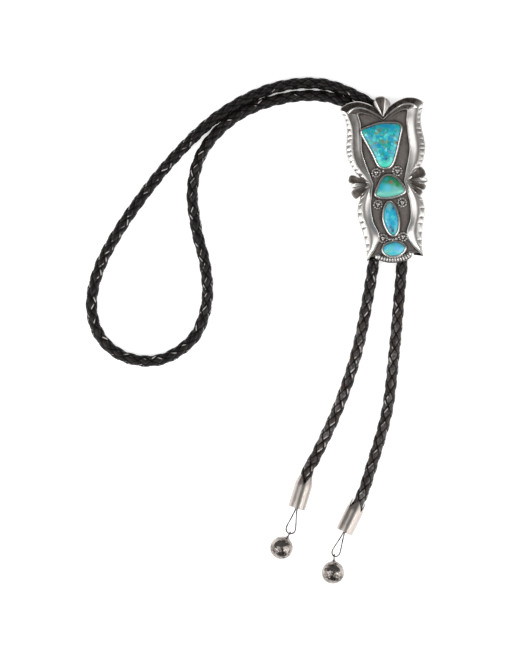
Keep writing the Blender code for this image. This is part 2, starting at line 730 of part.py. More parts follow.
silver = finish("oxidised_silver", (0.52, 0.50, 0.48), 1.0, 0.28)
bright_silver = finish("polished_silver", (0.80, 0.79, 0.77), 1.0, 0.12)
blue_stone = finish("blue_turquoise", (0.02, 0.36, 0.52), 0.0, 0.22)
green_stone = finish("green_turquoise", (0.06, 0.42, 0.36), 0.0, 0.22)
leather = finish("black_leather", (0.03, 0.027, 0.026), 0.0, 0.45)

make_slide(silver)
make_clip(silver)
make_stone("stone_shield", SHIELD_GIRDLE, blue_stone)
make_stone("stone_dome", DOME_GIRDLE, green_stone)
make_stone("stone_tall_oval", TALL_OVAL_GIRDLE, blue_stone)
make_stone("stone_wide_oval", WIDE_OVAL_GIRDLE, blue_stone)
make_cord(leather)
for label, end in CORD_ENDS.items():
    make_tip("tip_" + label, end, bright_silver)
    make_wire_loop("wire_loop_" + label, end, bright_silver)
    make_ball("ball_" + label, end, bright_silver)
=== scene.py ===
import math
from functools import partial

import bmesh
import bpy
import numpy as np
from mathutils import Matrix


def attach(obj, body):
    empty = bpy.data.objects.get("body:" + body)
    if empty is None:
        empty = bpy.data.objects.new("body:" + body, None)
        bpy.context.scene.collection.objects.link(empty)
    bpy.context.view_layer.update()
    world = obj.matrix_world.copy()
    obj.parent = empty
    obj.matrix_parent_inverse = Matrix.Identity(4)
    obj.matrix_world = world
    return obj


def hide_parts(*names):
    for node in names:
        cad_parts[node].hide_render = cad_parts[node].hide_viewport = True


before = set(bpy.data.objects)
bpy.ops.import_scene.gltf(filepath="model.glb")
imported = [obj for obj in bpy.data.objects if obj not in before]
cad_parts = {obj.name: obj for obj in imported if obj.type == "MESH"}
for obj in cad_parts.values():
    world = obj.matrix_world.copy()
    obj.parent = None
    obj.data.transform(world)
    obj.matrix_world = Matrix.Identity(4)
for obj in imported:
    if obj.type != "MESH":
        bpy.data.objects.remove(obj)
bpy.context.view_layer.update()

bl_info = {
    "name": "Bolo tie dressing",
    "version": (1, 0, 0),
    "blender": (4, 5, 0),
    "location": "3D View > Sidebar > Bolo tie",
    "description": "Surfaces and finishes of a silver and turquoise bolo tie",
    "category": "Add Mesh",
}

MM = 0.001
WELD = 1e-6
TINY = 1e-9

# Levels and sizes of the part, as its solids have them
PLATE_BASE = 9.0 * MM
PLATE_TOP = 10.5 * MM
HALF_WIDTH = 23.0 * MM
HALF_LENGTH = 45.0 * MM
SETTING_REACH = 1.1 * MM
STONE_BASE = 10.8 * MM
STONE_SIDE = 2.5 * MM
STONE_CROWN = 2.2 * MM
CORD_DIAMETER = 6.3 * MM
CORD_REST_HEIGHT = CORD_DIAMETER / 2
CHANNEL_HEIGHT = 4.35 * MM
CHANNEL_X = 7.5 * MM
CLIP_HALF_LENGTH = 18 * MM
CHANNEL_LEAD = 5 * MM
TIP_LENGTH = 18.6 * MM
TIP_WALL = 0.6 * MM
TIP_RADIUS = 4.7 * MM
TIP_BORE_RADIUS = 4.1 * MM
TIP_PETAL_LENGTH = 5.6 * MM
TIP_MOUTH_RADIUS = 3.45 * MM
TIP_EDGE = 0.35 * MM
TIP_CAP = 0.8 * MM
TIP_HOLE_RADIUS = 1.25 * MM
TIP_LEAD = 4 * MM
WIRE_RADIUS = 0.36 * MM
WIRE_GAP = 0.1 * MM
LOOP_LENGTH = 14.2 * MM
STOP_BEAD_RADIUS = 1.7 * MM
SEAT_GAP = 0.3 * MM
CORD_CLEARANCE = 0.3 * MM
BALL_RADIUS = 6.1 * MM
BALL_NECK = 0.9 * MM
EYE_BORE_RADIUS = 1.1 * MM

# The slide's relief, right half, from the notch under the bud round to the middle of the
# foot, in stretches that meet at mitres. Columns in mm: rim x, y, crest x, y, inner lip x, y,
# where the row meets the middle line, and the crest's height as a share.
RELIEF = {
    "arch": (
        (0, 34.6, 0, 32.4, 0, 31.4, 31, 0.75), (2, 37.3, 2, 34.2, 2.6, 32.8, 30.8, 0.9),
        (5.2, 40.2, 4.5, 36.1, 5, 34.3, 30.5, 1), (7.5, 41.6, 6.6, 37.5, 7.2, 35.6, 30.2, 1),
        (10, 42.6, 9.2, 38.9, 9.3, 36.4, 29.9, 1), (12.5, 43.3, 11.7, 39.7, 11, 36.9, 29.6, 1),
        (15, 43.4, 13.9, 39.8, 12.2, 37, 29.3, 1), (18, 42.9, 16, 39.4, 13, 36.95, 29, 1),
        (20.2, 42, 17.4, 38.7, 13.4, 36.85, 28.7, 1), (21.8, 41, 18.2, 38, 13.6, 36.75, 28.5, 1),
        (22.7, 39.6, 18.8, 37.3, 13.7, 36.6, 28.3, 1),
    ),
    "upper_side": (
        (22.7, 39.6, 18.8, 37.3, 13.7, 36.6, 28.3, 1), (22.2, 37.5, 18.5, 36, 13.6, 35.7, 28, 1),
        (21.2, 35.5, 18.1, 34.3, 13.3, 34.2, 27.5, 1), (20.5, 33, 17.5, 32.3, 12.8, 32, 26.5, 1),
        (20.2, 30, 16.9, 29.7, 12.7, 29.5, 25, 1), (20.3, 27, 16.7, 27, 12.8, 27, 23, 1),
        (20.7, 23.7, 16.8, 23.7, 13, 23.7, 20.5, 1), (21.2, 20.3, 17.1, 20.3, 13.2, 20.3, 18, 1),
        (21.5, 17, 17.3, 17, 13.3, 17, 15, 1), (21.1, 13.7, 17.1, 13.7, 12.9, 13.9, 12, 1),
        (20.3, 11, 16.5, 11.3, 12.3, 11.2, 9.5, 1), (19.4, 8.5, 15.6, 8.6, 11.5, 8.2, 7, 1),
        (17.8, 5.8, 13.8, 5.5, 10.6, 5.2, 4.5, 0.95), (15.6, 3, 11.6, 2.4, 9.8, 2.2, 2, 0.85),
        (13.6, -1.4, 9.4, -1.4, 8.8, -1.4, -1.4, 0.7),
    ),
    "lower_side": (
        (13.6, -1.4, 9.4, -1.4, 8.8, -1.4, -1.4, 0.7), (14.6, -5, 10.9, -4.6, 9.5, -4.8, -4.5, 0.85),
        (16, -9, 12.6, -8, 10.2, -8.4, -8, 0.95), (17.6, -12, 13.9, -11.6, 10.9, -12, -11.5, 1),
        (18.2, -15, 14.5, -15, 11.05, -15.2, -15, 1),
        (18.4, -18.3, 14.5, -18.3, 10.95, -18.3, -18, 1),
        (17.8, -21.2, 13.9, -21.2, 10.6, -21.2, -21, 1),
        (17.2, -23.8, 13.1, -23.8, 9.9, -23.8, -23.8, 1),
        (16.5, -26.5, 12.3, -26.5, 8.7, -26.5, -26.5, 1),
        (16, -29.3, 11.95, -29.5, 7.9, -29.5, -29.2, 1),
        (15.6, -32.5, 12, -32.5, 8.4, -32.6, -31.8, 0.95),
        (15.35, -35.5, 12.6, -35.5, 9.8, -35.4, -34.4, 0.9),
        (15.3, -38.5, 13.6, -38.3, 11.7, -38.1, -36.8, 0.8),
        (15.4, -41, 14.6, -40.5, 13.4, -40, -38.5, 0.6),
        (15.4, -42.6, 15.2, -42.3, 14.8, -41.9, -39.5, 0.3),
    ),
    "foot": (
        (15.4, -42.6, 15.2, -42.3, 14.8, -41.9, -39.5, 0.3),
        (13.4, -40.9, 13.2, -40.6, 13, -40.2, -39.9, 0.12),
        (11, -41, 10.8, -40.7, 10.6, -40.2, -40.5, 0.1),
        (8.3, -43, 8.1, -42.6, 7.9, -42.1, -41.5, 0.1), (5, -44.4, 4.9, -44, 4.8, -43.5, -42.8, 0.1),
        (2.2, -44.9, 2.15, -44.5, 2.1, -44.1, -43.6, 0.1), (0, -45, 0, -44.7, 0, -44.3, -43.9, 0.1),
    ),
}
RELIEF_STEPS = 14
# Steps across the relief: outer slope, inner slope, lip, wall of the lip, recess
ACROSS_STEPS = (14, 12, 4, 3, 20)
LIP_WIDTH = 0.55 * MM
LIP_WALL = 0.25 * MM
RIM_EDGE = 0.35 * MM
PAD_EDGE = 0.6 * MM
FLUTE_LENGTHS = {"upper_side": 2.9 * MM, "lower_side": 4.3 * MM}
PAD_SLANT = 0.3
# The lip's level as a share of the crest's
LIP_SHARE = 0.36
# Radius over which the corners grow lighter
CORNER_REACH = 5 * MM

# Fans of flutes, in mm: their edges as angles in degrees from the X axis, mirrored at the
# left, and the reach of each flute. The bud's reach follows its outline, given as angles and
# lengths, and its outermost flutes drop.
# Flutes listed under bright take a painted highlight
FAN_SHAPE = {"apex": (8.8, -1.4), "rise": 2.5, "depth": 0.95, "bright": (1,)}
SIDE_FANS = (
    {"side": -1, "edges": (29, 4, -13, -42, -60), "reaches": (13, 11.9, 12.6, 10.5)},
    {"side": 1, "edges": (41, 5, -13.5, -33, -53), "reaches": (12, 12.4, 11.8, 11.6)},
)
BUD = {"side": 1, "apex": (0, 34), "rise": 2.6, "depth": 0.8, "bright": (0, 2), "drop": 1.7,
       "edges": (54, 79.5, 110.5, 126),
       "outline": ((54, 58, 65, 76, 88, 104, 112, 117, 122, 126),
                   (7.9, 8.8, 9.8, 10.7, 11.1, 11.2, 10.8, 10.1, 8.2, 6.4))}
FAN_STEPS = 14
FAN_UNDERSIDE = PLATE_BASE + 0.2 * MM

# Girdles of the stones, clockwise from the top left, as shares of the slide's half width
# and half length.
GIRDLES = {
    "shield": (
        (-0.5, 0.612), (-0.35, 0.64), (-0.13, 0.666), (0.11, 0.667), (0.31, 0.652), (0.383, 0.607),
        (0.335, 0.511), (0.217, 0.318), (0.11, 0.19), (-0.013, 0.149), (-0.185, 0.18), (-0.3, 0.33),
        (-0.43, 0.48), (-0.505, 0.57),
    ),
    "dome": (
        (-0.045, 0.04), (0.045, 0.04), (0.13, 0.02), (0.235, -0.035), (0.345, -0.14), (0.28, -0.178),
        (0.143, -0.198), (-0.03, -0.208), (-0.18, -0.201), (-0.275, -0.184), (-0.315, -0.158),
        (-0.24, -0.08), (-0.14, 0.008),
    ),
    "tall_oval": (
        (-0.02, -0.278), (0.07, -0.33), (0.13, -0.44), (0.14, -0.52), (0.1, -0.62), (0.015, -0.664),
        (-0.085, -0.625), (-0.16, -0.53), (-0.18, -0.44), (-0.12, -0.325),
    ),
    "wide_oval": (
        (-0.01, -0.756), (0.13, -0.772), (0.24, -0.83), (0.14, -0.893), (0, -0.912), (-0.15, -0.9),
        (-0.258, -0.845), (-0.19, -0.78),
    ),
}
GIRDLE_STEPS = 12
# Section of a setting: distance out from the girdle and height over the plate in mm, and darkness
SETTING_SECTION = (
    (1.35, -0.4, 0.9), (1.32, 0.15, 0.9), (1.1, 0.5, 0.8), (1.1, 1.9, 0.5), (1.04, 2.25, 0.1),
    (0.7, 2.5, 0), (0.34, 2.78, 0), (0.18, 2.74, 0.2), (0.12, 2.4, 0.9), (0.2, 1.2, 1), (0.3, -0.4, 1),
)

# Looks of the stones. Lengths in mm: the size of the clouds and grains, how far the border
# of the second colour wanders, and the levels between which it comes in. Marks are x, y,
# radius and colour.
ROCK = ((0.42, "#4f9a80"), (0.5, "#6f9472"), (0.6, "#86805e"))
STONE_LOOKS = {
    "shield": {
        "finish": "turquoise_polished_blue_with_rock", "slot": "stone_blue",
        "body": ((0.2, "#027c9c"), (0.34, "#0494b4"), (0.46, "#0a9fa2"), (0.57, "#0a846c"),
                 (0.68, "#14a6a4"), (0.82, "#58c6c6")),
        "cloud": 2.2, "grain": 1.5, "second": "#3cc0aa", "wander": 3, "levels": (13.5, 10),
        "rock_from": 0.47,
        "marks": ((4.8, 27.3, 2.6, "#0287aa"), (3.3, 21.8, 2.4, "#028bb0"),
                  (-8.0, 25.4, 1.7, "#0487a4"), (-4.2, 23.6, 1.7, "#0284a8"),
                  (-6.4, 17.9, 1.9, "#0286aa"), (2.0, 14.6, 1.5, "#048ca2"),
                  (-2.6, 26.9, 1.9, "#4c7464"), (-1.4, 20.6, 1.7, "#587a62"),
                  (-5.4, 20.0, 1.2, "#64745e"), (6.2, 19.3, 1.5, "#54452c"),
                  (-0.4, 11.2, 1.2, "#1c4c80")),
    },
    "dome": {
        "finish": "turquoise_polished_green_over_aqua", "slot": "stone_green",
        "body": ((0.3, "#18725e"), (0.5, "#20704c"), (0.7, "#2c7a48")),
        "cloud": 3.0, "grain": 2.6, "second": "#64b2a2", "wander": 4, "levels": (0.6, -5.0),
        "rock_from": 0.75,
        "marks": ((-4.4, -3.6, 3.4, "#149eb2"), (-1.4, 0.4, 1.8, "#1c8284"),
                  (-0.8, -4.6, 3.0, "#4eacc0"), (3.6, -4.8, 2.2, "#68a4ac"),
                  (1.5, -1.6, 1.05, "#96583a"), (4.6, -3.0, 2.0, "#24793a")),
    },
    "tall_oval": {
        "finish": "turquoise_polished_sky_with_navy", "slot": "stone_sky",
        "body": ((0.3, "#0e8eb0"), (0.5, "#149cb8"), (0.7, "#3eb0b8")),
        "cloud": 2.2, "grain": 1.8, "second": "#3aa2a4", "wander": 3, "levels": (-23, -26),
        "rock_from": 0.66,
        "marks": ((-1.0, -13.8, 3.2, "#62a0a2"), (1.2, -15.8, 1.1, "#1c3464"),
                  (-2.4, -18.8, 1.7, "#3ea4c4"), (-0.6, -22.4, 1.1, "#2e96b4"),
                  (-1.2, -25.8, 1.4, "#04487c"), (-0.3, -27.7, 1.5, "#063a70")),
    },
    "wide_oval": {
        "finish": "turquoise_polished_pale_sky", "slot": "stone_sky",
        "body": ((0.3, "#40aaba"), (0.5, "#4cb0ca"), (0.7, "#58b0ac")),
        "cloud": 2.4, "grain": 2.4, "second": "#4eaab0", "wander": 3, "levels": (-38, -40),
        "rock_from": 0.8,
        "marks": ((1.6, -37.4, 2.3, "#5aa8d4"), (-3.8, -38.8, 1.8, "#4ca286")),
    },
}

# Rosette buttons: x and y of the middle and the radius, in mm
ROSETTES = (
    (-6.2, 4.2, 3.0), (5.2, 4.2, 3.2), (-6.7, -12.9, 3.0), (6.4, -12.9, 3.0),
    (-5.5, -31.3, 3.0), (5.2, -31.3, 3.0),
)
ROSETTE_BEADS = 10
# Places in a rosette as shares of its radius: grains in the middle and beads round them
GRAIN_PLACE, GRAIN_RADIUS, GRAIN_HEIGHT = 0.23, 0.25, 0.55
BEAD_PLACE, BEAD_RADIUS, BEAD_HEIGHT = 0.75, 0.23, 0.42
ROSETTE_RISE = 2.2 * MM
# Small solder beads between the stones: x, y and radius, in mm
BEADS = ((-1.9, -32.2, 0.9), (-0.2, -32.4, 0.9), (1.5, -32.2, 0.9), (-2.4, 4.9, 0.7))

# Middle line of the crescent at the foot and the beads at its ends, in mm
CRESCENT = ((-9.0, -40.7), (-6.0, -42.0), (-2.8, -42.7), (0.0, -42.9), (2.8, -42.7), (6.0, -42.0),
            (9.0, -40.7))
CRESCENT_ENDS = ((-9.2, -40.7), (8.8, -40.7))
CRESCENT_FLUTES = 13

# Ends of the cord: middle of the tip's mouth and width of the wire loop in mm, headings of
# tip, loop and ball from straight down towards the left, and turn of the petals, in degrees
CORD_ENDS = {
    "left": {"mouth": (-57.5, -155.0), "tip": 21.7, "loop": 20.5, "ball": 34.4, "width": 5.0,
             "turn": 45.0},
    "right": {"mouth": (-30.4, -171.2), "tip": 30.5, "loop": 27.3, "ball": 9.5, "width": 4.2,
              "turn": 0.0},
}
# A wire loop's half width as a share, at shares of its length
LOOP_SHAPE = ((0.1, 0.2), (0.38, 0.52), (0.68, 0.9), (0.84, 1.0), (0.95, 0.68))
# Route of the cord in mm. The points near the slide lie up to 1.2 mm off those of the cord's
# solid, so that the two strands touch where the photo shows it.
LEFT_TAIL_ROUTE = (
    (-51.5, -145), (-37.3, -120), (-25.5, -93), (-17, -65), (-9.8, -36),
)
NECK_LOOP_ROUTE = (
    (-10.5, 33.4), (-19, 43.2), (-33, 48.3), (-51, 48.8), (-70.9, 44.6), (-87.4, 35.4), (-99.8, 21.5),
    (-105.8, 3), (-105.3, -18), (-102.3, -38), (-103.3, -58), (-112, -76), (-130, -86), (-149, -83.4),
    (-162, -71), (-165.2, -53), (-158.8, -33), (-145.5, -12.8), (-129, 6.7), (-112, 23.8),
    (-92.7, 39.4), (-72.1, 50.2), (-51, 55.6), (-30, 54.3), (-12.1, 45.9), (1.3, 34.6),
)
RIGHT_TAIL_ROUTE = (
    (5.4, -35), (0.6, -63), (-4.9, -94), (-11.5, -125), (-23.3, -156),
)
ROUTE_STEPS = 40
BRAID_PITCH = 31.0 * MM
BRAID_POINTS_ROUND = 32
BRAID_CROWN = 3.25 * MM
BRAID_GROOVE = 0.8 * MM

# The camera looks straight down on this point of the slide's frame
AIM = (-0.0751, -0.0727)
TILT_DEGREES = 4.9
VIEW_HEIGHT = 0.3521
CAMERA_DISTANCE = 4.0
SENSOR_WIDTH = 36.0
# The floor lies just under the part, so that the two don't share a plane
FLOOR_LEVEL = -0.05 * MM


def linear(code):
    """The linear colour of an sRGB hex code, with full alpha."""
    levels = np.array([int(code[k:k + 2], 16) for k in (1, 3, 5)]) / 255
    bright = np.where(levels <= 0.04045, levels / 12.92, ((levels + 0.055) / 1.055) ** 2.4)
    return (*(float(level) for level in bright), 1.0)


def add_node(tree, kind, settings=None, links=None):
    """Adds a shader node with its settings, its ramp's stops and its links. A colour may be a
    hex code, and a link may come from a socket or from a node, whose first output it takes."""
    node = tree.nodes.new("ShaderNode" + kind)
    for key, value in (settings or {}).items():
        if isinstance(value, str) and value.startswith("#"):
            value = linear(value)
        if key == "stops":
            ramp = node.color_ramp
            while len(ramp.elements) < len(value):
                ramp.elements.new(1.0)
            for stop, (place, colour) in zip(ramp.elements, value):
                stop.position = place
                stop.color = linear(colour) if isinstance(colour, str) else colour
        elif isinstance(key, int) or key in node.inputs:
            node.inputs[key].default_value = value
        else:
            setattr(node, key, value)
    for key, source in (links or {}).items():
        socket = source.outputs[0] if isinstance(source, bpy.types.Node) else source
        tree.links.new(socket, node.inputs[key])
    return node


def new_finish(name):
    """An empty material, add_node for its tree, and the Object coordinates there."""
    made = bpy.data.materials.new(name)
    made.use_nodes = True
    made.node_tree.nodes.clear()
    add = partial(add_node, made.node_tree)
    return made, add, add("TexCoord").outputs["Object"]


def shaded(made, add, settings, links):
    """The material, ended with a Principled shader that has these settings and links."""
    shader = add("BsdfPrincipled", settings, links)
    add("OutputMaterial", links={"Surface": shader})
    return made


def smooth_rows(rows, steps, closed=False):
    """Catmull-Rom spans through the rows: half of 2b + (c-a)t + (2a-5b+4c-d)t^2 + (3b-a-3c+d)t^3
    for each run of four rows a, b, c, d."""
    rows = np.asarray(rows, float)
    if closed:
        a, b, c, d = (np.roll(rows, shift, axis=0) for shift in (1, 0, -1, -2))
    else:
        padded = np.concatenate([rows[:1], rows, rows[-1:]])
        a, b, c, d = padded[:-3], padded[1:-2], padded[2:-1], padded[3:]
    t = (np.arange(steps) / steps)[None, :, None]
    a, b, c, d = (part[:, None, :] for part in (a, b, c, d))
    spans = 0.5 * (2 * b + (c - a) * t + (2 * a - 5 * b + 4 * c - d) * t ** 2
                   + (3 * b - a - 3 * c + d) * t ** 3)
    path = spans.reshape(-1, rows.shape[1])
    return path if closed else np.concatenate([path, rows[-1:]])


def arc_lengths(path):
    """The length along a path up to each of its points."""
    return np.concatenate([[0], np.cumsum(np.linalg.norm(np.diff(path, axis=0), axis=1))])


def resampled(path, at):
    """The path's points at the given lengths along it."""
    along = arc_lengths(path)
    return np.stack([np.interp(at, along, path[:, k]) for k in range(path.shape[1])], axis=1)


def climb(value, start, stop):
    """0 on the start's side, 1 on the stop's side and even in between."""
    return np.clip((value - start) / (stop - start), 0, 1)


def outward(path):
    """Unit normals in the plane of a closed clockwise outline, pointing out of it."""
    along = np.roll(path, -1, axis=0) - np.roll(path, 1, axis=0)
    across = np.stack([-along[:, 1], along[:, 0]], axis=1)
    return across / np.linalg.norm(across, axis=1)[:, None]


def ring_faces(rows, columns, closed):
    """Corner numbers of the quads between the rings of a rows by columns grid; the columns
    close, and the rows close too where asked."""
    i = np.arange(rows if closed else rows - 1)[:, None]
    j = np.arange(columns)[None, :]
    k, m = (i + 1) % rows, (j + 1) % columns
    corners = [i * columns + j, k * columns + j, k * columns + m, i * columns + m]
    return np.stack(np.broadcast_arrays(*corners), axis=-1).reshape(-1, 4)


def volume(points, faces):
    """Signed volume under quads or triangles: a sixth of the sum of triple products."""
    total = 0.0
    for k in range(1, faces.shape[1] - 1):
        a, b, c = points[faces[:, 0]], points[faces[:, k]], points[faces[:, k + 1]]
        total += float((a * np.cross(b, c)).sum())
    return total / 6


def weld(work):
    """Merges the points of a bmesh that coincide and drops its faces without area."""
    bmesh.ops.remove_doubles(work, verts=work.verts, dist=WELD)
    bmesh.ops.dissolve_degenerate(work, edges=work.edges, dist=WELD)


def turn_outwards(work):
    """Turns the faces of a bmesh outwards."""
    bmesh.ops.recalc_face_normals(work, faces=work.faces)


def add_piece(name, points, faces, layers, mend, finish, nodes, sharp=None):
    """A smooth mesh that rides on the body: its float attributes, the function that mends it,
    its finish, the solids it replaces and the angle from which edges are sharp."""
    mesh = bpy.data.meshes.new(name)
    mesh.from_pydata(points.tolist(), [], faces)
    for label, values in layers.items():
        layer = mesh.attributes.new(label, "FLOAT", "POINT")
        layer.data.foreach_set("value", values.astype(np.float32))
    work = bmesh.new()
    work.from_mesh(mesh)
    mend(work)
    work.to_mesh(mesh)
    work.free()
    mesh.shade_smooth()
    if sharp:
        mesh.set_sharp_from_angle(angle=math.radians(sharp))
    mesh.materials.append(finish)
    piece = bpy.data.objects.new(name, mesh)
    bpy.context.scene.collection.objects.link(piece)
    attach(piece, "root")
    if nodes:
        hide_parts(*nodes)
    return piece


def make_piece(name, parts, finish, nodes=(), sharp=None):
    """A piece from closed bodies, welded. Each part has rings of points (rows, columns, 3), the
    values of its relief attribute (rows, columns), whether its rows close, and whether fans
    of triangles cap its ends. Faces are turned outwards by the sign of the body's volume."""
    points, faces, values, count = [], [], [], 0
    for part in parts:
        rings, relief = part["rings"], part["relief"].reshape(-1)
        rows, columns = rings.shape[:2]
        flat = rings.reshape(-1, 3)
        shown = [ring_faces(rows, columns, part.get("closed"))]
        if part.get("caps"):
            middles = np.stack([rings[0].mean(axis=0), rings[-1].mean(axis=0)])
            j = np.arange(columns)
            start = np.full(columns, rows * columns)
            last = (rows - 1) * columns
            shown.append(np.stack([start, j, (j + 1) % columns], axis=1))
            shown.append(np.stack([start + 1, last + (j + 1) % columns, last + j], axis=1))
            flat = np.concatenate([flat, middles])
            relief = np.concatenate([relief, [relief[0], relief[-1]]])
        if sum(volume(flat - flat.mean(axis=0), group) for group in shown) < 0:
            shown = [group[:, ::-1] for group in shown]
        points.append(flat)
        values.append(relief)
        for group in shown:
            faces += (group + count).tolist()
        count += len(flat)
    return add_piece(name, np.concatenate(points), faces, {"relief": np.concatenate(values)}, weld,
                     finish, nodes, sharp)


def full_turn(steps):
    """Angles at even steps round a circle."""
    return 2 * np.pi * np.arange(steps) / steps


def beside(path):
    """Two unit directions at each point of a path: the upright direction made square to the
    path, and the one that is square to both."""
    along = np.gradient(path, axis=0)
    along /= np.linalg.norm(along, axis=1)[:, None]
    n = np.array([0, 0, 1.0]) - along[:, 2:3] * along
    n /= np.linalg.norm(n, axis=1)[:, None]
    return n[:, None], np.cross(along, n)[:, None]


def tube_rings(path, radii, columns):
    """Rings round a path: centre + radius (n cos + b sin), n and b being square to the path."""
    n, b = beside(path)
    angle = full_turn(columns)[None, :, None]
    return path[:, None] + np.reshape(radii, (-1, 1, 1)) * (n * np.cos(angle) + b * np.sin(angle))


def square_to(axis):
    """Two unit directions that are square to an axis: one level, the other upwards."""
    across = np.cross([0, 0, 1.0], axis)
    across /= np.linalg.norm(across)
    return across, np.cross(axis, across)


def old_silver(settings):
    """Sterling silver, stamped and soldered: hollows kept black by patina, high parts
    polished bright by wear. The relief attribute is 1 in the hollows and 0 on the crests, and
    also carries painted shade and painted highlights."""
    made, add, place = new_finish("sterling_silver_stamped_patina")
    relief = add("Attribute", {"attribute_name": "relief"}).outputs["Fac"]
    # Patina breaks up in brushed streaks 0.8 mm apart and in patches of about 3 mm
    scale = (1 / (0.8 * MM), 1 / (7 * MM), 1 / (0.8 * MM))
    stretched = add("Mapping", {"Scale": scale}, {"Vector": place})
    streaks = add("TexNoise", {"Scale": 1.0, "Detail": 4.0}, {"Vector": stretched})
    patches = add("TexNoise", {"Scale": 1 / (3 * MM), "Detail": 3.0}, {"Vector": place})
    both = add("Math", {"operation": "ADD"}, {0: streaks, 1: patches})
    share = add("MapRange", {"From Min": 0.7, "From Max": 1.3, "To Min": 0.8, "To Max": 1.12},
                {"Value": both})
    amount = add("Math", {"operation": "MULTIPLY", "use_clamp": True}, {0: relief, 1: share})
    colour = add("ValToRGB", {"stops": ((0.05, settings.bright), (0.4, "#87827e"),
                                        (0.75, settings.patina), (1.0, "#1b1715"))}, {"Fac": amount})
    rough = add("MapRange", {"To Min": 0.27, "To Max": 0.5}, {"Value": amount})
    # Patina is a dull coat, so the metal under it mirrors less
    bare = add("MapRange", {"To Min": 0.96, "To Max": 0.35}, {"Value": amount})
    # Soft unevenness from hammering, about 3 mm across
    bump = add("Bump", {"Strength": 0.25, "Distance": 0.04 * MM}, {"Height": patches})
    return shaded(made, add, {}, {"Metallic": bare, "Base Color": colour, "Roughness": rough,
                                  "Normal": bump})


def bright_silver(name, settings, gloss, dent, spacing):
    """Sterling silver polished by hand: fine wear over the two roughness values of its
    gloss, and dents of the given depth and spacing in metres. It mirrors the softboxes and
    the dark studio between them, and tarnish dulls it where the relief attribute is high."""
    made, add, place = new_finish(name)
    relief = add("Attribute", {"attribute_name": "relief"}).outputs["Fac"]
    # Fine wear about 0.4 mm across
    wear = add("TexNoise", {"Scale": 1 / (0.4 * MM), "Detail": 4.0}, {"Vector": place})
    dents = add("TexNoise", {"Scale": 1 / spacing, "Detail": 1.0}, {"Vector": place})
    # Tarnish is uneven, and lies in the dents
    tarnish = add("MapRange", {"From Min": 0.32, "From Max": 0.68, "To Min": 1.4, "To Max": 0.5},
                  {"Value": dents})
    amount = add("Math", {"operation": "MULTIPLY", "use_clamp": True}, {0: relief, 1: tarnish})
    colour = add("Mix", {"data_type": "RGBA", 6: settings.polished, 7: "#37302d"}, {0: amount})
    rough = add("MapRange", {"To Min": gloss[0], "To Max": gloss[1]}, {"Value": wear})
    fine = add("Bump", {"Strength": 0.12, "Distance": 0.02 * MM}, {"Height": wear})
    bump = add("Bump", {"Strength": 0.5, "Distance": dent}, {"Height": dents, "Normal": fine})
    return shaded(made, add, {"Metallic": 1.0}, {"Base Color": colour.outputs[2],
                                                 "Roughness": rough, "Normal": bump})


def clip_metal():
    """Nickel silver sheet, brushed along its length, which draws its highlights out."""
    made, add, place = new_finish("nickel_silver_brushed")
    # Brush lines about 0.2 mm apart
    scale = (1 / (0.2 * MM), 1 / (8 * MM), 1 / (0.2 * MM))
    stretched = add("Mapping", {"Scale": scale}, {"Vector": place})
    lines = add("TexNoise", {"Scale": 1.0, "Detail": 3.0}, {"Vector": stretched})
    rough = add("MapRange", {"To Min": 0.22, "To Max": 0.42}, {"Value": lines})
    bump = add("Bump", {"Strength": 0.3, "Distance": 0.03 * MM}, {"Height": lines})
    return shaded(made, add, {"Metallic": 1.0, "Base Color": "#b9b3a6"},
                  {"Roughness": rough, "Normal": bump})


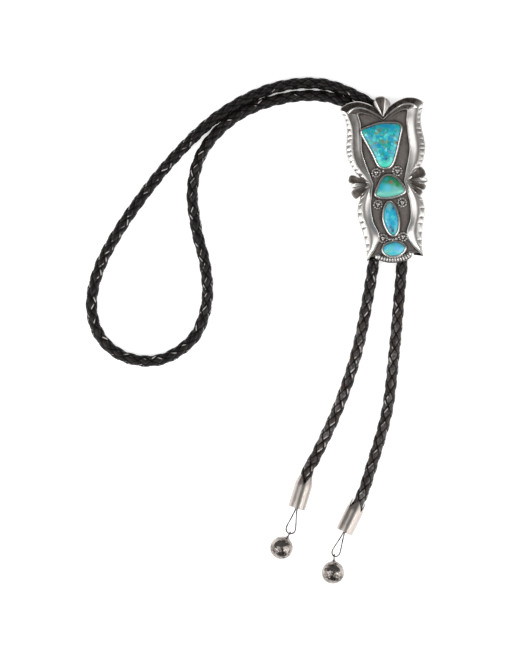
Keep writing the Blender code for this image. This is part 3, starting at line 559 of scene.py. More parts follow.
def turquoise(look):
    """Cut and polished turquoise, which shines softly under a thin clear polish: a patchwork
    of angular grains in the body colours, a second colour that comes in towards the foot,
    single soft marks, and host rock in the seams between the grains."""
    made, add, place = new_finish(look["finish"])
    flat = add("VectorMath", {"operation": "MULTIPLY", 1: (1, 1, 0)}, {0: place})
    # Clouds are 2.2 to 3 mm across and grains 1.5 to 2.6 mm, as the stone's look says
    clouds = add("TexNoise", {"Scale": 1 / (look["cloud"] * MM), "Detail": 5.0, "Roughness": 0.62,
                              "Distortion": 0.4}, {"Vector": flat})

    def bent_by(reach):
        return add("VectorMath", {"operation": "MULTIPLY_ADD", 1: (reach, reach, 0)},
                   {0: clouds.outputs["Color"], 2: flat})

    # Grains of one colour each, with edges bent by the clouds; cloudiness blurs them a little
    wavy = bent_by(1.6 * MM)
    grain_scale = 1 / (look["grain"] * MM)
    grains = add("TexVoronoi", {"Scale": grain_scale}, {"Vector": wavy})
    channels = add("SeparateColor", links={"Color": grains.outputs["Color"]})
    shade = add("Mix", {0: 0.35}, {2: channels.outputs[0], 3: clouds.outputs["Fac"]})
    body = add("ValToRGB", {"stops": look["body"]}, {"Fac": shade})
    parts = add("SeparateXYZ", links={"Vector": place})
    wander = add("Math", {"operation": "MULTIPLY_ADD", 1: look["wander"] * MM},
                 {0: clouds, 2: parts.outputs["Y"]})
    start, stop = look["levels"]
    lower = add("MapRange", {"From Min": start * MM, "From Max": stop * MM}, {"Value": wander})
    stone = add("Mix", {"data_type": "RGBA", 7: look["second"]}, {0: lower, 6: body}).outputs[2]
    # Single marks; the clouds bend their edges and move them by 1.2 mm on average
    bent = bent_by(2.4 * MM)
    for x, y, radius, colour in look["marks"]:
        spot = ((x + 1.2) * MM, (y + 1.2) * MM, 0)
        away = add("VectorMath", {"operation": "DISTANCE", 1: spot}, {0: bent}).outputs["Value"]
        mark = add("MapRange", {"interpolation_type": "SMOOTHSTEP", "From Min": radius * 1.2 * MM,
                                "From Max": radius * 0.1 * MM}, {"Value": away})
        stone = add("Mix", {"data_type": "RGBA", 7: colour}, {0: mark, 6: stone}).outputs[2]
    # Host rock in seams of about 0.3 mm, thick in some zones of 2.6 mm and absent in others
    seams = add("TexVoronoi", {"Scale": grain_scale, "feature": "DISTANCE_TO_EDGE"}, {"Vector": wavy})
    zones = add("TexNoise", {"Scale": 1 / (2.6 * MM), "Detail": 3.0}, {"Vector": flat})
    near = add("Math", {"operation": "MULTIPLY_ADD", 1: -1.1}, {0: seams, 2: zones})
    rock = add("MapRange", {"From Min": look["rock_from"], "From Max": look["rock_from"] + 0.14,
                            "To Max": 0.85}, {"Value": near})
    kind = add("ValToRGB", {"stops": ROCK}, {"Fac": zones})
    flecked = add("Mix", {"data_type": "RGBA"}, {0: rock, 6: stone, 7: kind})
    # Rock is softer than the stone, so polishing leaves it slightly lower
    bump = add("Bump", {"Strength": 0.15, "Distance": 0.05 * MM, "invert": True}, {"Height": rock})
    return shaded(made, add, {"Roughness": 0.22, "IOR": 1.61, "Coat Weight": 0.15,
                              "Coat Roughness": 0.06},
                  {"Base Color": flecked.outputs[2], "Normal": bump})


def braided_leather(settings):
    """Calf leather lace, drum dyed black and waxed: small glints on the high parts, painted
    shade in the seams keeps them black, and the tails are a lighter brown-grey. The relief
    attribute is 1 on the crown of a lace, tone is a number of its own for each lace, and the
    third attribute is 1 in the stripe that takes a painted glint."""
    made, add, place = new_finish("calf_leather_lace_waxed_black")
    relief, lace, stripe = (add("Attribute", {"attribute_name": name}).outputs["Fac"]
                            for name in ("relief", "tone", "scuff"))
    parts = add("SeparateXYZ", links={"Vector": place})
    tail_tone = add("MapRange", {"From Min": -36 * MM, "From Max": -80 * MM}, {"Value": parts.outputs["Y"]})
    side = add("MapRange", {"From Min": -98 * MM, "From Max": -88 * MM}, {"Value": parts.outputs["X"]})
    tail = add("Math", {"operation": "MULTIPLY"}, {0: tail_tone, 1: side})
    # Tone also changes along each lace, in patches of about 1.3 mm
    patches = add("TexNoise", {"Scale": 1 / (1.3 * MM), "Detail": 4.0}, {"Vector": place})
    tone = add("Math", {"operation": "MULTIPLY_ADD", 1: 1.1, 2: -0.3}, {0: patches})
    mixed = add("Math", {"operation": "MULTIPLY_ADD", 1: 0.5}, {0: lace, 2: tone})
    dark = add("ValToRGB", {"stops": ((0.2, settings.leather), (0.8, "#211b1a"))}, {"Fac": mixed})
    light = add("ValToRGB", {"stops": ((0.15, "#191514"), (0.4, settings.tail_tone), (0.58, "#343235"),
                                       (0.85, "#645d5a"))}, {"Fac": mixed})
    body = add("Mix", {"data_type": "RGBA"}, {0: tail, 6: dark, 7: light}).outputs[2]
    # Painted shade keeps the seams between the laces near black
    seam = add("MapRange", {"From Min": 0.28, "From Max": 0.56}, {"Value": relief})
    laced = add("Mix", {"data_type": "RGBA", 6: "#030303"}, {0: seam, 7: body}).outputs[2]
    # Painted glints are pale stripes on the lace sides, in clusters about 5 mm long, and fewer at the
    # top of the loop
    glint_clusters = add("TexNoise", {"Scale": 1 / (5 * MM), "Detail": 4.0}, {"Vector": place})
    fewer = add("Math", {"operation": "SUBTRACT", "use_clamp": True}, {0: side, 1: tail_tone})
    broken = add("Math", {"operation": "MULTIPLY_ADD", 1: -0.14}, {0: fewer, 2: glint_clusters})
    clustered_glints = add("MapRange", {"From Min": 0.42, "From Max": 0.56}, {"Value": broken})
    painted_glints = add("Math", {"operation": "MULTIPLY"}, {0: stripe, 1: clustered_glints})
    pale = add("MapRange", {"From Min": 0.3, "From Max": 0.8}, {"Value": painted_glints})
    colour = add("Mix", {"data_type": "RGBA", 7: "#b6b0ad"}, {0: pale, 6: laced})
    # Leather grain of about 0.5 mm
    grain = add("TexVoronoi", {"Scale": 1 / (0.5 * MM)}, {"Vector": place})
    bump = add("Bump", {"Strength": 0.5, "Distance": 0.08 * MM}, {"Height": grain})
    # Crowns are rubbed smooth, seams stay rough
    rough = add("MapRange", {"To Min": 0.9, "To Max": 0.42}, {"Value": relief})
    return shaded(made, add, {"Specular IOR Level": 0.14, "Coat Weight": 0.25,
                              "Coat Roughness": 0.08},
                  {"Base Color": colour.outputs[2], "Roughness": rough, "Normal": bump})


def floor_sheet():
    """Opal acrylic of a light table, matt: its own glow keeps the shadows pale."""
    made, add, place = new_finish("opal_acrylic_backlit")
    # Cloudiness about 17 mm across
    fibre = add("TexNoise", {"Scale": 60.0, "Detail": 2.0}, {"Vector": place})
    colour = add("ValToRGB", {"stops": ((0.3, "#f1f1f1"), (0.7, "#f4f4f4"))}, {"Fac": fibre})
    return shaded(made, add, {"Roughness": 0.9, "Specular IOR Level": 0.1,
                              "Emission Color": "#ffffff", "Emission Strength": 0.4},
                  {"Base Color": colour})


def relief_grid(settings):
    """The stamped plate as one surface z(along, across): along runs round the rim, across
    from the rim over the crest and the inner lip to the middle line. The outer slope rises as
    a quarter sine, to the power of 0.75 in the arch and foot. The inner slope t falls as
    (1-t)^1.9 there and as 1 - t^1.6 at the sides, the lip is half a sine, and the sides'
    outer slope is parted into slanting pads by grooves of depth 1 - (4x(1-x))^0.35. The left
    half mirrors the right one, and only its darkness differs, mostly through painted shade and
    painted highlights."""
    rows = []
    for name, stretch in RELIEF.items():
        path = smooth_rows(stretch, RELIEF_STEPS)
        along = arc_lengths(path[:, :2]) * MM
        turn, ends = np.zeros((2, len(path)))
        if name in FLUTE_LENGTHS:
            turn = along / along[-1] * round(along[-1] / FLUTE_LENGTHS[name])
            ends = climb(along, 0, 2 * MM) * climb(along, along[-1], along[-1] - 3 * MM)
        rolled = np.full(len(path), float(name not in FLUTE_LENGTHS))
        # A stretch ends where the next one begins
        keep = None if name == "foot" else -1
        rows.append(np.column_stack([path, rolled, turn, ends])[:keep])
    table = np.concatenate(rows)
    rim, crest, lip = (table[:, k:k + 2] * MM for k in (0, 2, 4))
    middle = np.column_stack([np.zeros(len(table)), table[:, 6] * MM])
    height = table[:, 7:8] * settings.crest_height
    rolled, turn, ends = (table[:, k:k + 1] for k in (8, 9, 10))
    inward = middle - lip
    reach = np.maximum(np.linalg.norm(inward, axis=1)[:, None], TINY)
    inward = inward / reach
    step = np.minimum(1.0, reach / (4 * (LIP_WIDTH + LIP_WALL)))
    lip_in = lip + inward * LIP_WIDTH * step
    foot = lip + inward * (LIP_WIDTH + LIP_WALL) * step
    lip_level = LIP_SHARE * height

    def between(a, b, t):
        return a[:, None] + (b - a)[:, None] * t[..., None]

    def by_kind(rolled_edge, padded_side):
        return rolled * rolled_edge + (1 - rolled) * padded_side

    t_out, t_in, t_lip, t_wall = (np.linspace(0, 1, steps, endpoint=False)[None]
                                  for steps in ACROSS_STEPS[:-1])
    t_floor = np.linspace(0, 1, ACROSS_STEPS[-1] + 1)[None]
    out, inner = t_out.size, t_out.size + t_in.size
    edge = np.minimum(by_kind(RIM_EDGE, PAD_EDGE), height)
    roll = np.sin(np.pi / 2 * t_out)
    out_z = edge + (height - edge) * by_kind(roll ** 0.75, roll)
    # Pads are struck by hand: their lengths wander by a tenth of a pad
    turn = turn + 0.1 * np.sin(2.3 * turn) + PAD_SLANT * t_out
    share = turn % 1.0
    groove = ends * (1 - (4 * share * (1 - share)) ** 0.35)
    # Each groove ends at its own length, and is shallow where the slope is low
    reach_in = 0.72 + 0.14 * np.sin(1.7 * np.floor(turn))
    dish = groove * climb(t_out, reach_in, reach_in - 0.3)
    depth = settings.flute_depth * dish * np.clip(out_z / (0.9 * MM), 0.25, 1)
    out_z = (out_z - depth) * np.clip(t_out / 0.12, 0.35, 1)
    in_z = lip_level + (height - lip_level) * by_kind((1 - t_in) ** 1.9, 1 - t_in ** 1.6)
    bead = settings.lip_bead * height / settings.crest_height
    lip_z = lip_level + bead * np.sin(np.pi * t_lip)
    wall_z = lip_level * (1 - t_wall)
    floor_z = np.zeros((len(table), t_floor.size))
    across = np.concatenate([between(rim, crest, t_out), between(crest, lip, t_in),
                             between(lip, lip_in, t_lip), between(lip_in, foot, t_wall),
                             between(foot, middle, t_floor)], axis=1)
    level = np.concatenate([out_z, in_z, lip_z, wall_z, floor_z], axis=1) + PLATE_TOP
    # The rim's outline follows the pads
    push = -settings.flute_depth * 0.8 * groove * climb(t_out, 0.5, 0)
    outwards = rim - crest
    outwards /= np.maximum(np.linalg.norm(outwards, axis=1)[:, None], TINY)
    across[:, :out] += push[..., None] * outwards[:, None]
    # Arch and foot are dark but for rim, crest and lip; the sides are dark in their grooves
    roll_dirt = 0.98 * climb(t_out, 0.06, 0.14) * climb(t_out, 0.93, 0.87)
    pad_dirt = 0.1 + 0.75 * climb(dish, 0.3, 0.8) + 0.16 * t_out ** 2
    cove_dirt = 0.95 * climb(t_in, 0.12, 0.24) * climb(t_in, 0.97, 0.87)
    # Painted shade darkens the inner slope next to the lip
    band_patina_and_shade = 0.26 - 0.24 * climb(t_in, 0, 0.35) + 0.3 * t_in ** 8
    # Patina darkens the recess floor, and painted shade darkens it further by the wall
    from_wall = np.linalg.norm(across[:, -t_floor.size:] - foot[:, None], axis=2)
    floor_patina_and_shade = 0.5 + 0.18 * rolled + 0.45 * np.exp(-from_wall / (1.2 * MM))
    darkness = np.concatenate([by_kind(roll_dirt, pad_dirt), by_kind(cove_dirt, band_patina_and_shade),
                           np.full_like(lip_z, 0.04), np.ones_like(wall_z), floor_patina_and_shade], axis=1)
    # Painted light on the upper sides: a painted highlight lightens the left pads, and painted shade
    # darkens the left inner slope but for a painted highlight streak along it
    y = crest[:, 1:]
    painted_light_zone = (1 - rolled) * climb(y, 3 * MM, 8 * MM)
    streak = climb(y, 11 * MM, 15 * MM) * np.exp(-((t_in - 0.7) / 0.16) ** 2)
    left_darkness = darkness.copy()
    left_darkness[:, :out] *= 1 - 0.25 * painted_light_zone
    left_darkness[:, out:inner] += painted_light_zone * (0.38 - 0.36 * streak)
    # Painted shade: the upper right side is slightly darker on its pads
    darkness[:, :out] += 0.14 * painted_light_zone
    # Both lower corners and the upper right one are lighter towards their tips
    from_top, from_low = (np.linalg.norm(rim - np.array(corner) * MM, axis=1)[:, None]
                          for corner in (RELIEF["arch"][-1][:2], RELIEF["foot"][0][:2]))
    darkness[:, :inner] *= np.clip(np.minimum(from_top, from_low) / CORNER_REACH, 0.1, 1)
    left_darkness[:, :inner] *= np.clip(from_low / CORNER_REACH, 0.1, 1)
    half = np.concatenate([across, level[..., None]], axis=2)
    other = half * np.array([-1, 1, 1])
    base = np.stack([half[:, 0], half[:, -1], other[:, 0]], axis=1)
    base[..., 2] = PLATE_BASE
    rings = np.concatenate([other, half[:, -2::-1], base], axis=1)
    darkness = np.concatenate([left_darkness, darkness[:, -2::-1], np.full((len(table), 3), 0.35)], axis=1)
    # Patina and painted shade darken the plate round the settings
    outlines = np.concatenate([girdle(name, SETTING_REACH) for name in GIRDLES])
    level_part = np.abs(rings[..., 2] - PLATE_TOP) < WELD
    spots = rings[level_part][:, :2]
    near = np.linalg.norm(spots[:, None] - outlines[None, ::3], axis=2).min(axis=1)
    darkness[level_part] = np.maximum(darkness[level_part], 0.55 + 0.6 * np.exp(-near / (0.8 * MM)))
    return {"rings": rings, "relief": np.minimum(darkness, 1.0)}


def fluted_fan(side, apex, edges, rise, depth, bright, reaches=(), drop=0.0, outline=None):
    """A fan of dished flutes z(angle, radius), in mm: the level rises from the apex to two
    thirds of the reach and rolls over at the rim; each flute sinks by depth (1 - (2x-1)^2)
    between sharp edges, and its rim is round: reach (1 - 0.13 (2x-1)^4). With an outline,
    that sets the reach and the rim is sharper. With a drop, the outermost flutes are flat
    facets that fall by it."""
    edges, last = np.asarray(edges, float), len(edges) - 2
    share = np.arange(FAN_STEPS * (last + 1) + 1) / FAN_STEPS
    which = np.minimum(share.astype(int), last)
    x = share - which
    angle = edges[which] + (edges[which + 1] - edges[which]) * x
    if outline:
        reach = np.interp(angle, *outline)
        shoulder, tip = 0.86, 1.0
    else:
        reach = np.asarray(reaches, float)[which] * (1 - 0.13 * (2 * x - 1) ** 4)
        shoulder, tip = 0.72, 0.72
    # Points stand closer together where the rim rolls over
    r = np.concatenate([np.linspace(0, 0.8, 13), 1 - 0.2 * np.cos(np.linspace(0, np.pi / 2, 9)[1:])])
    up = np.interp(r, [0, 0.25, 0.66, 1], [0.5, 0.8, 1.0, tip])
    fall = np.sqrt(np.clip(1 - climb(r, shoulder, 1) ** 2.2, 0, 1))
    dish = (1 - (2 * x[:, None] - 1) ** 2) * climb(r, 0, 0.3)
    if drop:
        tilt = np.where(which == 0, 1 - x, x)[:, None] * r
        outermost = (which == 0) | (which == last)
        dish = np.where(outermost[:, None], tilt * drop / depth, dish)
    z = (rise * up - depth * dish) * fall * MM
    direction = np.stack([side * np.cos(np.radians(angle)), np.sin(np.radians(angle))], axis=1)
    start = np.array([apex[0] * side, apex[1]]) * MM
    flat = start + direction[:, None] * (reach[:, None] * r * MM)[..., None]
    top = np.concatenate([flat, (PLATE_TOP + z)[..., None]], axis=2)
    under = top[:, ::-1].copy()
    under[..., 2] = FAN_UNDERSIDE
    # Flutes are dark with patina up to the thin bright ridges; the flutes listed as bright take a
    # painted highlight, on the side fans growing towards their tips
    darkness = 0.06 + 0.78 * climb(dish, 0, 0.4) * np.clip((1 - r) / 0.08, 0.4, 1)
    for index in bright:
        darkness[which == index] *= 0.4 if drop else np.clip(1.3 - 1.6 * r, 0.05, 1)
    return {"rings": np.concatenate([top, under], axis=1), "caps": True,
            "relief": np.concatenate([darkness, np.full_like(darkness, 0.4)], axis=1)}


def girdle(name, grow=0.0):
    """A stone's outline in metres, moved outwards by a distance along its normals."""
    rows = np.array(GIRDLES[name]) * [HALF_WIDTH, HALF_LENGTH]
    path = smooth_rows(rows, GIRDLE_STEPS, closed=True)
    return path + outward(path) * grow


def bezel(name):
    """A setting: a wall section carried round the girdle, its top rolled over the stone."""
    section = np.array(SETTING_SECTION) * [MM, MM, 1]
    path = girdle(name)
    side = outward(path)
    rings = np.empty((len(path), len(section), 3))
    rings[..., :2] = path[:, None] + side[:, None] * section[None, :, :1]
    rings[..., 2] = PLATE_TOP + section[None, :, 1]
    # Painted highlight: the wall is lighter where it faces the right or the foot
    lit_wall = np.clip(0.65 - 0.9 * side[:, :1] + 0.3 * side[:, 1:], 0.15, 1.15)
    return {"rings": rings, "relief": section[None, :, 2] * lit_wall, "closed": True}


def rosette(x, y, radius):
    """A button z(radius, angle): the highest of three grains in the middle and a ring of beads,
    each a round cap sqrt(1 - d^2) of the distance d from its own middle, and a round rim."""
    rr, aa = np.meshgrid(np.linspace(1.0, 0.02, 26), full_turn(100), indexing="ij")
    grains = np.zeros_like(rr)
    for turn in (0.3, 2.4, 4.5):
        gap = rr ** 2 + GRAIN_PLACE ** 2 - 2 * GRAIN_PLACE * rr * np.cos(aa - turn)
        grains = np.maximum(grains, np.sqrt(np.clip(1 - gap / GRAIN_RADIUS ** 2, 0, 1)))
    width = 2 * np.pi / ROSETTE_BEADS
    off = (aa + width / 2) % width - width / 2
    gap = np.hypot(rr - BEAD_PLACE, off * BEAD_PLACE) / BEAD_RADIUS
    beads = np.sqrt(np.clip(1 - gap ** 2, 0, 1))
    level = 0.22 + np.maximum(GRAIN_HEIGHT * grains, BEAD_HEIGHT * beads)
    level *= np.sqrt(np.clip(1.02 - rr ** 6, 0, 1))
    darkness = np.clip(0.85 - 1.3 * np.maximum(grains, beads), 0, 1)
    top = np.stack([(x + rr * radius * np.cos(aa)) * MM, (y + rr * radius * np.sin(aa)) * MM,
                    PLATE_TOP + level * ROSETTE_RISE], axis=-1)
    foot = top[:1].copy()
    foot[..., 2] = PLATE_TOP - 0.5 * MM
    return {"rings": np.concatenate([foot, top]), "caps": True,
            "relief": np.concatenate([np.full_like(darkness[:1], 0.9), darkness])}


def crescent():
    """The crescent at the foot: a tube along an arc, whose radius swells between its flutes
    by |sin| of the length along it, with a round bead at each end, and the solder beads."""
    path = smooth_rows(np.array(CRESCENT) * MM, 24)
    along = arc_lengths(path) / arc_lengths(path)[-1]
    centre = np.column_stack([path, np.full(len(path), PLATE_TOP + 0.55 * MM)])
    flutes = np.abs(np.sin(np.pi * CRESCENT_FLUTES * along))
    radii = (0.7 + 0.8 * flutes ** 0.6) * MM * np.sqrt(np.clip(1 - (2 * along - 1) ** 8, 0.05, 1))
    rings = tube_rings(centre, radii, 20)
    parts = [{"rings": rings, "caps": True,
              "relief": np.tile((0.95 * (1 - flutes) ** 1.2)[:, None], (1, 20))}]
    beads = [(x, y, 1.65, 0.5) for x, y in CRESCENT_ENDS] + [(*bead, 0.3) for bead in BEADS]
    for x, y, radius, height in beads:
        parts.append(ball_part((x * MM, y * MM, PLATE_TOP + height * MM), radius * MM))
    return parts


def ball_part(centre, radius, rows=14, columns=24):
    """A sphere in rings of latitude."""
    lat, lon = np.meshgrid(np.linspace(-np.pi / 2, np.pi / 2, rows), full_turn(columns), indexing="ij")
    rings = np.asarray(centre) + radius * np.stack(
        [np.cos(lat) * np.cos(lon), np.cos(lat) * np.sin(lon), np.sin(lat)], axis=-1)
    return {"rings": rings, "relief": np.zeros((rows, columns))}


def cabochon(name):
    """A stone: its girdle drawn in to the middle by the share r while it rises as the
    superellipse (1 - r^2.4)^(1/2.4), over an upright side and a flat back."""
    path = girdle(name)
    middle = path.mean(axis=0)
    angle = np.linspace(0, np.pi / 2, 22)[:-1]
    r = np.cos(angle) ** (2 / 2.4)
    up = np.sin(angle) ** (2 / 2.4)
    shares = np.concatenate([[0.0, 0.985, 1.0], r, [0.0]])
    levels = np.concatenate([[0.0, 0.0, 0.1 * MM], STONE_SIDE + STONE_CROWN * up,
                             [STONE_SIDE + STONE_CROWN]]) + STONE_BASE
    flat = middle + (path - middle)[None] * shares[:, None, None]
    height = np.broadcast_to(levels[:, None, None], (*flat.shape[:2], 1))
    return {"rings": np.concatenate([flat, height], axis=2), "relief": np.zeros(flat.shape[:2])}


def heading(degrees):
    """The direction on the surface that is turned from straight down towards the left."""
    angle = math.radians(degrees)
    return np.array([-math.sin(angle), -math.cos(angle), 0.0])


def tip_face(end):
    """The centre of a tip's closed face and the direction from its mouth to that face."""
    along = heading(end["tip"])
    mouth = np.array([end["mouth"][0] * MM, end["mouth"][1] * MM, TIP_RADIUS])
    return mouth + along * TIP_LENGTH, along


def stop_bead_depth():
    """How far the stop bead's middle lies inside the cap."""
    reach = STOP_BEAD_RADIUS + SEAT_GAP
    return TIP_CAP + math.sqrt(reach ** 2 - TIP_HOLE_RADIUS ** 2)


def tip_route(end):
    """Route points on the tip's axis, from the cord's end to past the mouth."""
    face, along = tip_face(end)
    inner = stop_bead_depth() + STOP_BEAD_RADIUS + CORD_CLEARANCE
    return [face - along * inner, face - along * TIP_LENGTH * 0.7,
            face - along * (TIP_LENGTH + TIP_LEAD)]


def channel_route(side):
    """Route points through one channel of the clip, from the foot up."""
    reach = CLIP_HALF_LENGTH + CHANNEL_LEAD
    return [(side * CHANNEL_X, y, CHANNEL_HEIGHT)
            for y in (-reach, -CLIP_HALF_LENGTH, CLIP_HALF_LENGTH, reach)]


def on_surface(route):
    """Route points in metres at the height of the cord on the surface."""
    return [(x * MM, y * MM, CORD_REST_HEIGHT) for x, y in route]


def cord_line():
    """The cord's smooth centre line from the left tip round the neck to the right tip."""
    route = (tip_route(CORD_ENDS["left"]) + on_surface(LEFT_TAIL_ROUTE) + channel_route(-1)
             + on_surface(NECK_LOOP_ROUTE) + channel_route(1)[::-1]
             + on_surface(RIGHT_TAIL_ROUTE) + tip_route(CORD_ENDS["right"])[::-1])
    path = smooth_rows(route, ROUTE_STEPS)
    path[:, 2] = np.maximum(path[:, 2], CORD_REST_HEIGHT)
    return path


def braid(path):
    """A round braid as r(along, round) on a grid whose edges follow the laces. With A the
    angle in quarter turns and B the length in quarter pitches, laces of one hand run along
    A - B and of the other along A + B. Each diamond cell shows one lace, which swells as
    (1 - a^6)(1 - |b|^2.4) along and across itself, a and b running from -1 to 1. Returns
    the centre line, the points with both end points after them, the faces, and three values
    for each point: the swell, the lace's own number and how much painted glint it takes."""
    columns = BRAID_POINTS_ROUND
    length = arc_lengths(path)[-1]
    count = int(length / (BRAID_PITCH / (2 * columns)))
    centre = resampled(path, np.arange(count + 1) * length / count)
    n_rows = np.arange(count + 1)[:, None]
    quarter = 4 * (np.arange(columns)[None, :] + (n_rows % 2) / 2) / columns
    far = 2 * n_rows / columns
    u, v = quarter + far, quarter - far
    j, i = np.floor(u + 0.5 + 1e-6), np.floor(v + 0.5 + 1e-6)
    hand = (i + j) % 2 == 0
    a = np.where(hand, 2 * (u - j), 2 * (v - i))
    side = np.where(hand, 2 * (v - i), 2 * (u - j))
    swell = (1 - np.abs(a) ** 6) * (1 - np.abs(side) ** 2.4)
    # A number from 0 to 1 for each visible piece of lace, from the sine of its row and turn
    tone = (np.sin(12.9898 * i + 78.233 * j) * 43758.5453) % 1.0
    radius = BRAID_CROWN - BRAID_GROOVE * (1 - swell * (0.86 + 0.14 * tone))
    # Most laces take a painted glint in a stripe halfway out at one side
    scuff = np.clip(1.2 - np.abs(side - np.where(hand, 0.5, -0.5)) / 0.2, 0, 1) * (1 - a ** 4)
    scuff *= climb(tone, 0.1, 0.3)
    n, b = beside(centre)
    angle = (quarter * np.pi / 2)[..., None]
    points = centre[:, None] + radius[..., None] * (n * np.cos(angle) + b * np.sin(angle))
    # Laces are pressed flat where the cord lies on the table
    points[..., 2] = np.maximum(points[..., 2], 0)
    points = np.concatenate([points.reshape(-1, 3), centre[:1], centre[-1:]])
    layers = {"relief": swell, "tone": tone, "scuff": scuff}
    layers = {label: np.append(values, [0, 0]) for label, values in layers.items()}
    return centre, points, braid_faces(count + 1, columns), layers


def braid_faces(rows, columns):
    """Diamond faces between rings that are turned half a step from each other: the corners
    are a point, its two neighbours on the next ring and the point two rings on. Both ends
    have triangles for the half diamonds and a fan round the end point."""
    i = np.arange(rows - 2)[:, None]
    j = np.arange(columns)[None, :]
    odd = i % 2
    left, right = (j - 1 + odd) % columns, (j + odd) % columns
    corners = [i * columns + j, (i + 1) * columns + left, (i + 2) * columns + j,
               (i + 1) * columns + right]
    faces = np.stack(np.broadcast_arrays(*corners), axis=-1).reshape(-1, 4).tolist()
    j = np.arange(columns)
    for ring, inner, pole in ((0, 1, rows * columns), (rows - 1, rows - 2, rows * columns + 1)):
        here, after = ring * columns + j, ring * columns + (j + 1) % columns
        within = inner * columns + (j + ring % 2) % columns
        faces += np.stack([here, after, within], axis=1).tolist()
        faces += np.stack([np.full(columns, pole), here, after], axis=1).tolist()
    return faces


def tip_part(end):
    """A cord tip as a closed section turned round its axis: cap, wall, four petals whose
    edge runs up as 1 - |x|^1.4 across each petal and leans in to the cord, and the bore."""
    columns = 96
    turn = full_turn(columns)
    x = (turn / (np.pi / 2) + 0.5) % 1.0 * 2 - 1
    shoulder = TIP_LENGTH - TIP_PETAL_LENGTH
    petal = TIP_PETAL_LENGTH * (0.06 + 0.94 * (1 - np.abs(x) ** 1.4))
    # Radius, distance from the closed face, darkness
    lower = [(TIP_HOLE_RADIUS, 0.0, 0.4), (TIP_RADIUS - 1.0 * MM, -0.02 * MM, 0.05)]
    for bend in np.radians(np.linspace(-90, 0, 6)):
        lower.append((TIP_RADIUS - TIP_EDGE + TIP_EDGE * math.cos(bend),
                      TIP_EDGE + TIP_EDGE * math.sin(bend), 0.0))
    lower += [(TIP_RADIUS, shoulder * share, 0.0) for share in (0.3, 0.6, 0.9)]
    bottom = [(TIP_BORE_RADIUS, shoulder, 0.9), (TIP_BORE_RADIUS, TIP_CAP, 1.0),
              (TIP_HOLE_RADIUS, TIP_CAP, 1.0)]

    def petal_row(v, wide, narrow, pinch, cut, darkness):
        h = v * petal
        lean = (h / TIP_PETAL_LENGTH) ** 1.15
        radius = wide + (narrow - wide) * lean - pinch * lean * (1 - x ** 2)
        return np.stack([radius, shoulder + h - cut * (v == 1), np.full(columns, darkness)], axis=1)

    rows = [np.tile(row, (columns, 1)) for row in lower]
    rows += [petal_row(v, TIP_RADIUS, TIP_MOUTH_RADIUS + TIP_WALL * 0.8, 0.28 * MM, 0.0,
                       0.5 if v == 1 else 0.02) for v in np.linspace(0.0, 1.0, 9)]
    rows += [petal_row(v, TIP_BORE_RADIUS, TIP_MOUTH_RADIUS, 0.0, 0.12 * MM, 0.8)
             for v in np.linspace(1.0, 0.0, 5)]
    rows += [np.tile(row, (columns, 1)) for row in bottom]
    table = np.stack(rows)
    face, along = tip_face(end)
    across, upright = square_to(-along)
    turn = turn + math.radians(end["turn"]) - np.pi / 2
    ring = across * np.sin(-turn)[:, None] + upright * np.cos(turn)[:, None]
    rings = face + table[..., :1] * ring[None] - table[..., 1:2] * along
    return {"rings": rings, "relief": table[..., 2], "closed": True}


def wire_parts(end):
    """A drop-shaped wire loop: a round tube along a smooth bow whose two legs end at a bead
    inside the tip."""
    face, _ = tip_face(end)
    along = heading(end["loop"])
    across = np.array([along[1], -along[0], 0.0])
    leg = WIRE_RADIUS + WIRE_GAP / 2
    half = [(-stop_bead_depth(), leg), (0.0, leg)]
    for share, width in LOOP_SHAPE:
        half.append((share * LOOP_LENGTH, max(width * end["width"] / 2 * MM, leg)))
    rows = half + [(LOOP_LENGTH, 0.0)] + [(reach, -offset) for reach, offset in reversed(half)]
    path = smooth_rows([face + along * reach + across * offset for reach, offset in rows], 8)
    rings = tube_rings(path, WIRE_RADIUS, 12)
    return [{"rings": rings, "relief": np.full(rings.shape[:2], 0.85), "caps": True},
            ball_part(face - along * stop_bead_depth(), STOP_BEAD_RADIUS)]


def ball_parts(end):
    """A hanging ball: a turned section, round but drawn out to a short neck, and a wire eye,
    a torus that stands in the upright plane through the axis."""
    eye = EYE_BORE_RADIUS + WIRE_RADIUS
    eye_height = BALL_RADIUS + BALL_NECK + eye
    wire_height = eye_height + EYE_BORE_RADIUS - WIRE_RADIUS - SEAT_GAP
    face, _ = tip_face(end)
    bend = face + heading(end["loop"]) * LOOP_LENGTH
    drop = BALL_RADIUS - TIP_RADIUS
    level = math.sqrt(wire_height ** 2 - drop ** 2)
    towards = heading(end["ball"]) * level + np.array([0, 0, drop])
    centre = bend + towards
    axis = -towards / np.linalg.norm(towards)
    across, upright = square_to(axis)
    latitude = np.radians(np.linspace(-90, 62, 40))
    section = BALL_RADIUS * np.stack([np.cos(latitude), np.sin(latitude)], axis=1)
    # Radius and height of the neck over the top of the ball
    neck = [(1.75, -0.12), (0.95, 0.35), (0.55, 0.9), (0.0, 1.0)]
    neck = [section[-1]] + [(radius * MM, BALL_RADIUS + rise * MM) for radius, rise in neck]
    radius, height = np.concatenate([section, smooth_rows(neck, 5)[1:]]).T
    angle = full_turn(64)[:, None]
    ring = across * np.cos(angle) + upright * np.sin(angle)
    rings = centre + radius[:, None, None] * ring[None] + height[:, None, None] * axis
    turn, around = full_turn(40)[:, None], full_turn(12)[None, :, None]
    spokes = axis * np.cos(turn) + upright * np.sin(turn)
    torus = (centre + axis * eye_height + spokes[:, None] * (eye + WIRE_RADIUS * np.cos(around))
             + across * WIRE_RADIUS * np.sin(around))
    # The end by the neck is stamped and dark, and the far end is darker too
    dark = np.interp(height / BALL_RADIUS, [-1, -0.65, -0.25, -0.1, 0.3, 0.6, 1],
                     [0.4, 0.75, 0.6, 0.25, 0.25, 0.6, 0.7])
    return [{"rings": rings, "relief": np.tile(dark[:, None], (1, len(angle)))},
            {"rings": torus, "relief": np.full(torus.shape[:2], 0.85), "closed": True}]


